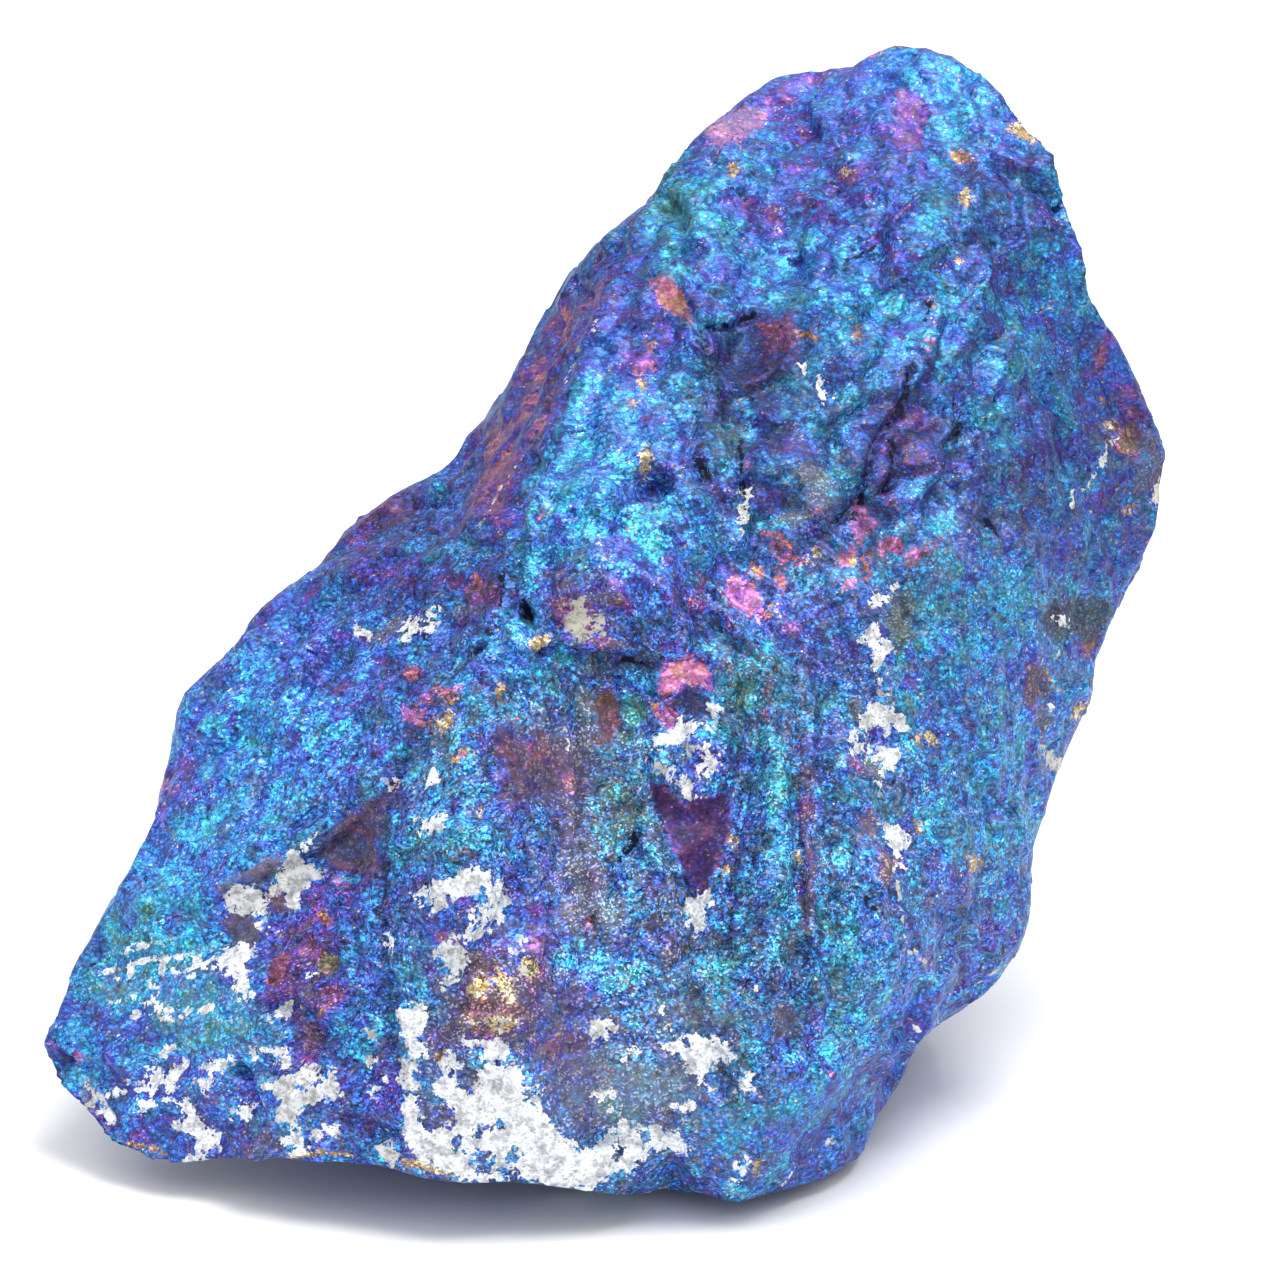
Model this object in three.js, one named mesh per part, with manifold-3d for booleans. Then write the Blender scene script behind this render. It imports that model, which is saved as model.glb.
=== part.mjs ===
// Peacock ore: one broken lump of acid-tarnished chalcopyrite, standing on a small flat spot.
// Millimetres, +Z up, +Y away from the broad face. The origin is the middle of the bottom of its box.

import * as THREE from 'three';
import { ConvexHull } from 'three/addons/math/ConvexHull.js';
import { ImprovedNoise } from 'three/addons/math/ImprovedNoise.js';
import { TessellateModifier } from 'three/addons/modifiers/TessellateModifier.js';
import { mergeVertices } from 'three/addons/utils/BufferGeometryUtils.js';
import Module from 'manifold-3d';

const LEAN = 18; // degrees that the broad face leans back when the lump stands on its flat spot
const HEART = new THREE.Vector3( - 2, 46, 44 ); // a point deep inside, which sees every landmark
const MAX_EDGE = 4.4; // longest triangle edge of the solid
const EDGE_WEAR = 0.35; // how far wear draws a point towards the middle of its neighbours, 0 to 1
const MAX_SPLITS = 12; // rounds of splitting, enough for the longest facet
const SAME_POINT = 1e-3; // corners this close are one
const LUMPS = [ { size: 15, height: 1.1 }, { size: 6.5, height: 0.5 } ]; // uneven fracture, both in mm
const TABLE_SIZE = 200; // wider than the lump

// Landmarks of the broad face and its outline, in the plane of the face: across, up, back.
const FACE = {

	// the outline, clockwise from the summit
	summit: [ [ 26.5, 120.5, 42 ], [ 32.5, 118.5, 40 ], [ 38, 114.5, 37 ], [ 43.5, 107.5, 33 ] ],
	rightShoulder: [
		[ 45, 100, 31 ], [ 46, 93, 31 ], [ 49.5, 89, 36 ], [ 52.5, 82.5, 38 ], [ 55, 76.5, 38 ], [ 53.5, 68.5, 36 ],
	],
	rightFlank: [
		[ 50.5, 62, 34 ], [ 47.5, 55, 34 ], [ 45.5, 48.5, 34 ], [ 42.5, 43, 32 ], [ 40.5, 36.5, 30 ],
		[ 40, 30, 28 ], [ 38.5, 25, 27 ],
	],
	undercutHeel: [
		[ 34, 20.5, 27 ], [ 29, 17, 26 ], [ 26, 12, 22 ], [ 23, 6.5, 16 ], [ 19.5, 4, 8 ], [ 15.5, 2.5, 3.5 ],
	],
	frontFoot: [ [ 9.5, 1.5, - 1 ], [ - 4, 3, - 4 ], [ - 16.5, 4, - 7 ], [ - 25.5, 6, - 5 ], [ - 34, 6, - 2 ] ],
	leftToe: [ [ - 40.5, 5.5, 2 ], [ - 45.5, 5, 5 ], [ - 54, 6.5, 8 ], [ - 58.5, 12, 12 ], [ - 60, 17, 14 ] ],
	leftFlank: [
		[ - 57.5, 23, 16 ], [ - 54, 31, 18 ], [ - 49.5, 38.5, 21 ], [ - 47, 44, 23 ], [ - 46.5, 51.5, 26 ],
	],
	leftShoulder: [
		[ - 41.5, 57, 29 ], [ - 39, 61, 31 ], [ - 32.5, 64.5, 34 ], [ - 30, 68.5, 36 ], [ - 26, 72, 38 ],
	],
	farSlope: [
		[ - 22, 74, 40 ], [ - 19, 74.5, 43 ], [ - 14, 81.5, 46 ], [ - 12.5, 86.5, 47 ], [ - 9, 93, 48 ],
		[ - 4, 99.5, 49 ], [ 1.5, 105, 49 ], [ 5.5, 110, 49 ], [ 10, 113.5, 48 ], [ 14, 117, 47 ],
		[ 22, 118.5, 45 ],
	],

	// the ridge that parts the broad face from the left flank, from the top down
	ridge: [
		[ 6, 107.5, 34 ], [ 1.5, 101.5, 29 ], [ - 3, 92.5, 23 ], [ - 5, 84, 17 ], [ - 8, 77, 11 ],
		[ - 10.5, 70, 5 ], [ - 11.5, 62.5, 2 ], [ - 14.5, 56, 0 ], [ - 19, 50.5, - 1 ], [ - 23, 45.5, 0 ],
		[ - 24, 36.5, - 1 ], [ - 24.5, 27, - 3 ], [ - 24, 16.5, - 4 ],
	],

	// the left flank: its upper rim, the ledge across it and the low toe under the ledge
	leftRim: [ [ - 29.5, 65, 26 ], [ - 20, 66, 18 ], [ - 14, 67.5, 11 ], [ - 34.5, 57, 20 ], [ - 24, 57, 11 ] ],
	leftWall: [ [ - 41.5, 49, 19 ], [ - 32, 48, 13 ], [ - 44, 38, 15 ] ],
	leftLedge: [ [ - 33.5, 40.5, 6 ], [ - 26.5, 43.5, 3 ], [ - 40.5, 34, 8 ] ],
	underLeftLedge: [ [ - 29.5, 34.5, 7 ], [ - 37.5, 31, 8 ] ],
	toe: [
		[ - 49.5, 25, 11 ], [ - 40.5, 23, 5 ], [ - 30, 26, 1 ], [ - 53.5, 15.5, 9 ], [ - 43, 13, 3 ],
		[ - 32, 13.5, - 2 ],
	],

	// the upper face, which leans back to the summit
	brow: [
		[ 15.5, 110.5, 39 ], [ 25, 112, 35 ], [ 33.5, 109, 33 ], [ 13.5, 102, 28 ], [ 23.5, 103, 27 ],
		[ 34, 102, 27.5 ], [ 40.5, 98, 28 ], [ 5, 95.5, 21 ], [ 12, 92.5, 22 ], [ 21, 93.5, 20 ],
		[ 30.5, 93.5, 22 ], [ 38.5, 90.5, 25.5 ],
	],
	hollow: [ [ 10, 86, 17.5 ], [ 6, 88, 16 ], [ 19, 85, 15.5 ], [ 26.5, 82.5, 15.5 ], [ 35.5, 83.5, 21 ] ],
	chest: [
		[ 1, 81, 12.5 ], [ 8, 78, 11 ], [ 15, 76, 10 ], [ 22, 75, 11 ], [ 30, 75, 14.5 ], [ 39.5, 74, 20.5 ],
		[ - 4, 70.5, 2.5 ], [ 2, 70, 4.5 ], [ 9.5, 69, 7.5 ], [ 15, 65, 7 ], [ 21, 66, 8 ], [ 29, 66, 11 ],
		[ 36, 64, 16 ],
	],
	shoulderCrease: [ [ 44, 83.5, 28.5 ], [ 47, 79.5, 31 ], [ 50, 74.5, 32.5 ], [ 44, 66.5, 24 ] ],
	rightPocket: [ [ 42, 61, 23 ], [ 45.5, 58.5, 29.5 ], [ 43, 53, 27 ] ],

	// the overhanging lip at half height and the recess under it
	belly: [ [ 0, 62.5, 1.5 ], [ - 6, 62, 0 ], [ 7, 61, 4 ], [ 13, 58, 3.5 ] ],
	lip: [ [ - 9, 56.5, - 1.5 ], [ - 3, 56, - 0.5 ], [ 5, 55.5, 1.5 ] ],
	recess: [ [ - 8, 54, 1 ], [ - 2, 53, 3.5 ], [ 5, 52, 3.5 ] ],

	// the lower face: rounded column, groove, smooth panel, upright ribs and the broad right plane
	column: [
		[ - 15.5, 52, - 4 ], [ - 18, 44.5, - 5.5 ], [ - 13.5, 41.5, - 6 ], [ - 17.5, 35, - 8.5 ],
		[ - 11.5, 32, - 6 ], [ - 16.5, 24.5, - 9 ],
	],
	groove: [ [ - 5, 47, 1 ], [ - 4, 38.5, 0 ], [ - 3.5, 29, - 2 ], [ - 5, 21, - 4.5 ] ],
	panel: [ [ 4, 47, 0 ], [ 6, 39.5, - 2.5 ], [ 5, 32, - 4 ] ],
	ribs: [
		[ 11, 49, - 1 ], [ 11.5, 39.5, - 4.5 ], [ 11, 30, - 6.5 ], [ 17, 42.5, - 3.5 ], [ 17, 33, - 6.5 ],
		[ 17, 23.5, - 7 ],
	],
	rightPlane: [
		[ 20.5, 57, 4 ], [ 27.5, 56, 8.5 ], [ 35, 55, 15 ], [ 40.5, 47, 23 ], [ 23.5, 47, 3 ], [ 31.5, 46, 10.5 ],
		[ 37.5, 38, 20 ], [ 24.5, 38.5, 0.5 ], [ 30.5, 36, 9 ], [ 25.5, 29.5, - 0.5 ], [ 33, 28, 13 ],
		[ 23.5, 23, - 1 ],
	],
	apron: [
		[ - 11.5, 15.5, - 9 ], [ - 18.5, 14, - 8.5 ], [ - 4, 13.5, - 7 ], [ 4, 17.5, - 7 ], [ 10.5, 18.5, - 8 ],
		[ 5, 9.5, - 6 ], [ - 7.5, 8, - 7 ],
	],
	lowerRightEdge: [
		[ 37, 25, 21 ], [ 30, 22, 10 ], [ 24, 17.5, 3.5 ], [ 19, 15.5, - 2.5 ], [ 14.5, 10.5, - 5 ],
		[ 11.5, 5, - 4 ],
	],
	chin: [ [ 30, 19, 21 ], [ 24, 13, 13 ], [ 18.5, 9.5, 4.5 ], [ 14.5, 5.5, 0 ] ],

};

// Landmarks of the far side and the underside, as the lump stands: across, away, above the table.
const FAR_SIDE = {

	flatSpot: [
		[ 2, 17, - 2 ], [ 12, 18, - 2 ], [ 16, 30, - 2 ], [ 17, 44, - 2 ], [ 11, 55, - 2 ], [ - 2, 57, - 2 ],
		[ - 8, 48, - 2 ], [ - 9, 34, - 2 ], [ - 5, 23, - 2 ], [ 4, 38, - 2 ],
	],
	underside: [
		[ 3, 5, 1.5 ], [ - 16, 13, 3 ], [ - 24, 26, 4 ], [ - 23, 42, 4 ], [ - 18, 58, 4.5 ], [ - 34, 16, 5 ],
		[ - 46, 20, 6 ], [ - 38, 34, 6.5 ], [ - 47, 38, 10 ], [ - 36, 52, 8 ], [ 26, 36, 2.5 ],
	],
	backFoot: [ [ - 16, 70, 8 ], [ 2, 76, 7 ], [ 18, 70, 6 ], [ 30, 58, 6 ], [ 33, 44, 6 ] ],
	backLeft: [
		[ - 55, 30, 9 ], [ - 55, 32, 17 ], [ - 51, 42, 22 ], [ - 45, 56, 15 ], [ - 43, 56, 32 ], [ - 31, 70, 18 ],
		[ - 33, 68, 38 ], [ - 25, 68, 49 ],
	],
	backWall: [
		[ - 14, 82, 22 ], [ - 12, 81, 42 ], [ - 9, 78, 58 ], [ 4, 90, 28 ], [ 6, 88, 48 ], [ 5, 86, 68 ],
		[ 22, 84, 22 ], [ 24, 90, 40 ], [ 22, 93, 60 ], [ 16, 90, 80 ], [ 27, 88, 88 ],
	],
	backRight: [
		[ 38, 64, 20 ], [ 43, 62, 34 ], [ 40, 78, 36 ], [ 49, 68, 50 ], [ 41, 84, 56 ], [ 48, 70, 64 ],
		[ 39, 82, 76 ], [ 42, 62, 78 ], [ 36, 84, 88 ],
	],

};

const wasm = await Module();
wasm.setup();

const lump = fineMesh( facets( [ ...faceLandmarks(), ...farSideLandmarks() ] ) );
wear( lump );
roughen( lump );

const stone = new THREE.Group();
stone.add( ore( 'ore_lump', overBoxCentre( seated( lump ) ) ) );

export default stone;

function ore( name, geometry ) {

	const mesh = new THREE.Mesh( geometry, new THREE.MeshStandardMaterial( {
		name: 'tarnished_ore',
		color: 0x2f62b4,
		metalness: 0.8,
		roughness: 0.38,
	} ) );
	mesh.name = name;
	return mesh;

}

function faceLandmarks() {

	const lean = new THREE.Matrix4().makeRotationX( - THREE.MathUtils.degToRad( LEAN ) );
	const place = ( [ across, up, back ] ) => new THREE.Vector3( across, back, up ).applyMatrix4( lean );
	return Object.values( FACE ).flat().map( place );

}

function farSideLandmarks() {

	return Object.values( FAR_SIDE ).flat().map( point => new THREE.Vector3( ...point ) );

}

// Joins the landmarks into flat facets. Two landmarks are neighbours where their directions from the
// heart are neighbours on the hull of all the directions.
function facets( landmarks ) {

	const landmarkAt = new Map( landmarks.map( point => [ point.clone().sub( HEART ).normalize(), point ] ) );
	const hull = new ConvexHull().setFromPoints( [ ...landmarkAt.keys() ] );
	const cornersOf = face => [ 0, 1, 2 ].map( i => landmarkAt.get( face.getEdge( i ).head().point ) );
	return new THREE.BufferGeometry().setFromPoints( hull.faces.flatMap( cornersOf ) );

}

// Splits the facets into small triangles that share their corners.
function fineMesh( geometry ) {

	const fine = new TessellateModifier( MAX_EDGE, MAX_SPLITS ).modify( geometry );
	fine.deleteAttribute( 'normal' );
	return mergeVertices( fine, SAME_POINT );

}

// Draws each point towards the middle of its neighbours, as edges wear.
function wear( geometry ) {

	const { position } = geometry.attributes;
	const corners = geometry.index.array;
	const sums = Array.from( { length: position.count }, () => new THREE.Vector3() );
	const counts = new Array( position.count ).fill( 0 );
	const point = new THREE.Vector3();

	corners.forEach( ( here, i ) => {

		const there = corners[ i % 3 === 2 ? i - 2 : i + 1 ];
		sums[ here ].add( point.fromBufferAttribute( position, there ) );
		counts[ here ] ++;

	} );

	sums.forEach( ( sum, i ) => {

		point.fromBufferAttribute( position, i ).lerp( sum.divideScalar( counts[ i ] ), EDGE_WEAR );
		position.setXYZ( i, ...point );

	} );

}

// Raises and sinks the surface along its normals, as an uneven fracture does.
function roughen( geometry ) {

	geometry.computeVertexNormals();
	const { position, normal } = geometry.attributes;
	const noise = new ImprovedNoise();
	const point = new THREE.Vector3();
	const outward = new THREE.Vector3();

	for ( let i = 0; i < position.count; i ++ ) {

		point.fromBufferAttribute( position, i );
		outward.fromBufferAttribute( normal, i );
		const rise = ( { size, height } ) => height * noise.noise( ...point.clone().divideScalar( size ) );
		point.addScaledVector( outward, LUMPS.map( rise ).reduce( ( sum, part ) => sum + part ) );
		position.setXYZ( i, ...point );

	}

	geometry.deleteAttribute( 'normal' );

}

// Takes away what reaches below the table, which leaves the flat spot.
function seated( geometry ) {

	const table = new THREE.BoxGeometry( TABLE_SIZE, TABLE_SIZE, TABLE_SIZE );
	table.translate( 0, 0, - TABLE_SIZE / 2 );
	table.deleteAttribute( 'normal' );
	table.deleteAttribute( 'uv' );
	const mesh = solid( geometry ).subtract( solid( mergeVertices( table ) ) ).getMesh();
	const result = new THREE.BufferGeometry();
	result.setAttribute( 'position', new THREE.BufferAttribute( mesh.vertProperties, 3 ) );
	result.setIndex( new THREE.BufferAttribute( mesh.triVerts, 1 ) );
	return result;

}

function solid( geometry ) {

	const vertProperties = new Float32Array( geometry.attributes.position.array );
	const triVerts = new Uint32Array( geometry.index.array );
	return new wasm.Manifold( new wasm.Mesh( { numProp: 3, vertProperties, triVerts } ) );

}

function overBoxCentre( geometry ) {

	geometry.computeBoundingBox();
	const centre = geometry.boundingBox.getCenter( new THREE.Vector3() );
	return geometry.translate( - centre.x, - centre.y, 0 );

}
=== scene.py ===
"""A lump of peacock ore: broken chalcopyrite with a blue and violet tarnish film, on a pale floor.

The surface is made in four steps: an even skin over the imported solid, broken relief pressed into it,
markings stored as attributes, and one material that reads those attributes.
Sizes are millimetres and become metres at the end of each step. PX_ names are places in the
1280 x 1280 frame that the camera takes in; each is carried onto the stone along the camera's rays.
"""

import math
from itertools import product

import bpy
import numpy as np
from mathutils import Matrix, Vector
from mathutils.bvhtree import BVHTree


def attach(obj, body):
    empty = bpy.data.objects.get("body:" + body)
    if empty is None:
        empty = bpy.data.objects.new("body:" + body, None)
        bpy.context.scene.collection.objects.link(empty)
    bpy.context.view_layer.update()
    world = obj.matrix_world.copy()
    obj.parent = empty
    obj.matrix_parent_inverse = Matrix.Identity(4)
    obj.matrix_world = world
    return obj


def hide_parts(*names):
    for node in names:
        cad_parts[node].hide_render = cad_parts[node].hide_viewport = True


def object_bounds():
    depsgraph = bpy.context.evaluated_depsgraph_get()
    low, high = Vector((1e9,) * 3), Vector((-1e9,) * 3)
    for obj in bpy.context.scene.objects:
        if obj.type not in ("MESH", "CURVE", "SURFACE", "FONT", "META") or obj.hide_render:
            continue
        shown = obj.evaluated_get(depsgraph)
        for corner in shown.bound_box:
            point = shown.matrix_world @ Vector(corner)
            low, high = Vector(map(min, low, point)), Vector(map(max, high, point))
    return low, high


MM = 0.001

# camera
FRAME_PX = 1280
FRAME_WIDTH = 128.0  # what the frame takes in at the aim point
CAMERA_DISTANCE = 600.0
CAMERA_ELEVATION = math.radians(18)
AIM = Vector((2.4, -12.4, 49.6))
SENSOR = 36.0

# skin
SKIN_VOXEL = 0.42
SKIN_SMOOTHING = 9
SKIN_TRIANGLES = 192000
FLAT_SPOT_BAND = 0.5  # what lies this low belongs to the flat spot

# relief: chips are flat broken faces
# (size, height, how far the chips are drawn out along the grain)
CHIPS = [(8.5, 2.0, 1.5), (4.2, 1.15, 2.2), (2.0, 0.55, 2.4), (1.0, 0.22, 1.6)]
CHIP_RAMP = 0.34  # width of the slope between two chips
LUMPS = [(9.0, 0.6), (1.6, 0.1)]
ELSEWHERE_WEIGHT = 0.02  # of the grain that runs where no direction is given
SMOOTH_PLACES_LOSE = 0.65  # share of the chips' height
ROOM = 3.0  # how far outside the camera's outline is looked at
ROOM_STEPS = 4  # each halves the error of the room found
RIM_FACING = 0.65  # points that face the camera more than this can't change the outline
OUTLINE_WEAR = 0.2  # how much of the relief is left where it would change that outline
FACE_SIZE, FACE_HEIGHT = 17, 3.2  # the big broken faces on the hidden side
HIDDEN_SINK = 1.2  # how far the hidden side is worn back
GROOVE_SPACING, GROOVE_DEPTH = 15, 1.1
GROOVE_SHARE = 0.05  # of the noise's height that a groove takes up


# ---------------------------------------------------------------- repeatable noise


def cell_number(cell, salt):
    """A repeatable number from 0 to 1 for each whole-number cell."""
    key = (cell @ np.array([73856093, 19349663, 83492791]) + salt * 7919) & 0xFFFFFFFF
    key = ((key ^ (key >> 15)) * 0x2C1B3C6D) & 0xFFFFFFFF
    key = ((key ^ (key >> 12)) * 0x297A2D39) & 0xFFFFFFFF
    return (key ^ (key >> 15)) / 0x100000000


def cell_vector(cell, salt):
    return np.stack([cell_number(cell, salt + axis) for axis in range(3)], axis=-1)


def soft_noise(points, size, salt):
    """Smooth noise, about -1 to 1, with lumps of that size."""
    place = points / size
    base = np.floor(place).astype(np.int64)
    part = place - base
    fade = part**3 * (part * (part * 6 - 15) + 10)
    total = np.zeros(len(points))
    for corner in product((0, 1), repeat=3):
        slope = cell_vector(base + corner, salt) * 2 - 1
        weight = np.where(corner, fade, 1 - fade).prod(axis=-1)
        total += weight * ((part - corner) * slope).sum(axis=-1)
    return total * 1.7


def wandered(points, size, amount, salt):
    """The points, pushed about by smooth noise."""
    push = [soft_noise(points, size, salt + 3 * axis) for axis in range(3)]
    return points + amount * np.stack(push, axis=1)


def chip_noise(points, size, salt):
    """Heights of flat tilted chips, about -1 to 1, with a short slope between neighbours."""
    place = points / size
    base = np.floor(place).astype(np.int64)
    first, second = np.full((2, len(points)), np.inf)
    height, next_height = np.zeros((2, len(points)))
    for offset in product((-1, 0, 1), repeat=3):
        cell = base + offset
        gap = place - cell - cell_vector(cell, salt)
        reach = np.sqrt((gap**2).sum(axis=-1))
        lean = (gap * (cell_vector(cell, salt + 3) * 2 - 1)).sum(axis=-1)
        closer = reach < first
        runner_up = ~closer & (reach < second)
        next_height = np.where(closer, height, np.where(runner_up, lean, next_height))
        second = np.where(closer, first, np.where(runner_up, reach, second))
        height = np.where(closer, lean, height)
        first = np.where(closer, reach, first)
    share = np.clip(0.5 + (second - first) * size / (2 * CHIP_RAMP), 0.5, 1)
    return height * share + next_height * (1 - share)


def smooth_step(value):
    value = np.clip(value, 0, 1)
    return value * value * (3 - 2 * value)


def share_of(inside):
    """A share from 0 to 1 for a number that runs from -1 outside an outline to 1 inside it."""
    return smooth_step(inside / 2 + 0.5)


# ---------------------------------------------------------------- camera


def camera_axes():
    """Right, up and forward of the camera."""
    forward = Vector((0, math.cos(CAMERA_ELEVATION), -math.sin(CAMERA_ELEVATION)))
    right = Vector((1, 0, 0))
    return right, right.cross(forward), forward


def camera_place():
    return AIM - camera_axes()[2] * CAMERA_DISTANCE


def make_camera():
    data = bpy.data.cameras.new("camera")
    data.sensor_width = SENSOR
    data.lens = SENSOR * CAMERA_DISTANCE / FRAME_WIDTH
    data.clip_start, data.clip_end = 0.01, 20
    camera = bpy.data.objects.new("camera", data)
    camera.location = camera_place() * MM
    camera.rotation_mode = "QUATERNION"
    camera.rotation_quaternion = camera_axes()[2].to_track_quat("-Z", "Y")
    bpy.context.scene.collection.objects.link(camera)
    bpy.context.scene.camera = camera


def ray(x, y):
    """Direction from the camera through a place in the frame."""
    right, up, forward = camera_axes()
    per_px = FRAME_WIDTH / FRAME_PX / CAMERA_DISTANCE
    return (forward + right * (x - FRAME_PX / 2) * per_px + up * (FRAME_PX / 2 - y) * per_px).normalized()


def frame_places(points):
    """Where points show in the frame."""
    right, up, forward = (np.array(axis) for axis in camera_axes())
    away = points - np.array(camera_place())
    scale = CAMERA_DISTANCE / (away @ forward) * FRAME_PX / FRAME_WIDTH
    return np.stack([FRAME_PX / 2 + away @ right * scale, FRAME_PX / 2 - away @ up * scale], axis=1)


# ---------------------------------------------------------------- skin


def apply_modifiers(obj):
    graph = bpy.context.evaluated_depsgraph_get()
    made = bpy.data.meshes.new_from_object(obj.evaluated_get(graph))
    obj.modifiers.clear()
    obj.data = made


def make_skin(node):
    """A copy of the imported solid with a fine, even and slightly rounded mesh."""
    skin = node.copy()
    skin.data = node.data.copy()
    skin.name = skin.data.name = "ore_stone"
    skin.parent = None
    for key in list(skin.keys()):
        del skin[key]
    bpy.context.scene.collection.objects.link(skin)
    weld = skin.modifiers.new("weld", "WELD")
    weld.merge_threshold = 0.01 * MM
    remesh = skin.modifiers.new("remesh", "REMESH")
    remesh.mode = "VOXEL"
    remesh.voxel_size = SKIN_VOXEL * MM
    smooth = skin.modifiers.new("smooth", "SMOOTH")
    smooth.factor = 0.5
    smooth.iterations = SKIN_SMOOTHING
    apply_modifiers(skin)
    return skin


def thin_out(skin, box):
    """Fewer triangles, with the small ones kept where the relief is sharp."""
    triangles = sum(len(polygon.vertices) - 2 for polygon in skin.data.polygons)
    decimate = skin.modifiers.new("decimate", "DECIMATE")
    decimate.ratio = min(1, SKIN_TRIANGLES / triangles)
    apply_modifiers(skin)
    set_points(skin.data, points_of(skin.data), box)


def points_of(mesh):
    flat = np.empty(len(mesh.vertices) * 3)
    mesh.vertices.foreach_get("co", flat)
    return flat.reshape(-1, 3) / MM


def normals_of(mesh):
    flat = np.empty(len(mesh.vertices) * 3)
    mesh.vertices.foreach_get("normal", flat)
    return flat.reshape(-1, 3)


def set_points(mesh, points, box):
    """Moves the points, kept inside the box and flat on the flat spot."""
    points = np.clip(points, np.array(box[0]) / MM, np.array(box[1]) / MM)
    points[:, 2] = np.where(points[:, 2] < FLAT_SPOT_BAND, 0, points[:, 2])
    mesh.vertices.foreach_set("co", (points * MM).ravel())
    mesh.update()


# ---------------------------------------------------------------- places on the stone


class Stone:
    """The skin's points, with ways to carry places of the frame onto it."""

    def __init__(self, mesh):
        self.points = points_of(mesh)
        self.normals = normals_of(mesh)
        corners = [Vector(p) for p in self.points]
        self.tree = BVHTree.FromPolygons(corners, [p.vertices[:] for p in mesh.polygons])
        self.eye = camera_place()
        sight = self.points - np.array(self.eye)
        sight /= np.linalg.norm(sight, axis=1)[:, None]
        self.facing = -(self.normals * sight).sum(axis=1)
        self.places = frame_places(self.points)

    def drop(self, x, y):
        return self.tree.ray_cast(self.eye, ray(x, y))[0]

    def drop_line(self, places, step=6):
        """Points on the stone along a line of places, every few pixels."""
        hits = [self.drop(*places[0])]
        for (x0, y0), (x1, y1) in zip(places, places[1:]):
            count = max(1, round(math.hypot(x1 - x0, y1 - y0) / step))
            for i in range(1, count + 1):
                hits.append(self.drop(x0 + (x1 - x0) * i / count, y0 + (y1 - y0) * i / count))
        return np.array([hit for hit in hits if hit is not None])

    def along_line(self, places, reach):
        """1 on the line, falling to 0 at reach and -1 from twice that on, for every point."""
        near = np.full(len(self.points), -1.0)
        line = self.drop_line(places)
        if not len(line):
            return near
        low, high = line.min(axis=0) - 2 * reach, line.max(axis=0) + 2 * reach
        inside = np.flatnonzero(((self.points > low) & (self.points < high)).all(axis=1))
        gaps = self.points[inside, None, :] - line[None, :, :]
        distance = np.sqrt((gaps**2).sum(axis=-1).min(axis=1))
        near[inside] = np.maximum(-1, 1 - distance / reach)
        return near

    def in_outline(self, outline, soft):
        """1 well inside a closed outline of the frame, 0 on it and -1 outside, over soft pixels."""
        corners = np.array(outline, float)
        low, high = corners.min(axis=0) - soft, corners.max(axis=0) + soft
        inside = (self.places > low) & (self.places < high)
        near = np.flatnonzero(inside.all(axis=1) & (self.facing > 0))
        places = self.places[near]
        gap = np.full(len(near), np.inf)
        odd = np.zeros(len(near), bool)
        for start, end in zip(corners, np.roll(corners, -1, axis=0)):
            side = end - start
            part = np.clip((places - start) @ side / (side @ side), 0, 1)
            gap = np.minimum(gap, np.linalg.norm(places - start - part[:, None] * side, axis=1))
            crosses = (start[1] > places[:, 1]) != (end[1] > places[:, 1])
            cut = start[0] + (places[:, 1] - start[1]) * side[0] / (side[1] or 1)
            odd ^= crosses & (places[:, 0] < cut)
        result = np.full(len(self.points), -1.0)
        result[near] = np.clip(np.where(odd, gap, -gap) / soft, -1, 1)
        return result


# ---------------------------------------------------------------- relief

# cracks and grooves: places, half width and depth in mm; they are also coloured darker as painted shade
PX_CRACKS = [
    ([(912, 371), (900, 413), (876, 440), (860, 494), (840, 520)], 0.55, 1.3),
    ([(893, 440), (895, 465), (885, 490)], 0.5, 1.1),
    ([(690, 300), (705, 350), (720, 400), (740, 480), (742, 500)], 0.6, 0.9),
    ([(960, 398), (960, 432)], 0.6, 1.2),
    ([(1025, 375), (1022, 400)], 0.5, 1.0),
    ([(985, 520), (997, 535)], 0.5, 0.7),
    ([(755, 315), (735, 325), (708, 327)], 0.5, 1.1),
    ([(838, 268), (855, 258), (880, 250)], 0.4, 0.8),
    ([(703, 468), (708, 478)], 0.6, 1.0),
    ([(700, 480), (745, 520), (790, 560)], 1.1, 0.5),
    ([(860, 500), (820, 535), (790, 560)], 1.1, 0.5),
    ([(540, 652), (600, 662), (660, 668), (700, 662)], 0.9, 1.5),
    ([(520, 606), (524, 616), (534, 630)], 0.8, 1.2),
    ([(575, 690), (582, 760), (580, 840), (590, 920)], 0.7, 0.8),
    ([(645, 700), (650, 780), (665, 860), (690, 900)], 0.7, 0.8),
    ([(642, 832), (625, 850)], 0.7, 1.0),
    ([(738, 640), (742, 760), (735, 860), (730, 960)], 0.6, 0.9),
    ([(795, 640), (797, 760), (803, 880), (812, 1000)], 0.5, 0.7),
    ([(828, 700), (835, 820), (838, 940)], 0.6, 0.5),
    ([(395, 760), (388, 820), (385, 900), (388, 980), (395, 1060)], 1.0, 0.9),
    ([(527, 535), (508, 600), (488, 640), (440, 692), (412, 735), (392, 790)], 1.0, 1.4),
    ([(205, 905), (260, 880), (330, 850), (390, 790)], 0.5, 0.5),
    ([(362, 720), (356, 758)], 0.5, 0.9),
    ([(275, 735), (265, 775)], 0.5, 0.7),
    ([(420, 648), (445, 648), (462, 656), (480, 648)], 0.5, 0.8),
    ([(526, 610)], 1.2, 1.2),
    ([(744, 485)], 0.7, 0.9),
    ([(868, 905)], 0.6, 0.8),
]
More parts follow.
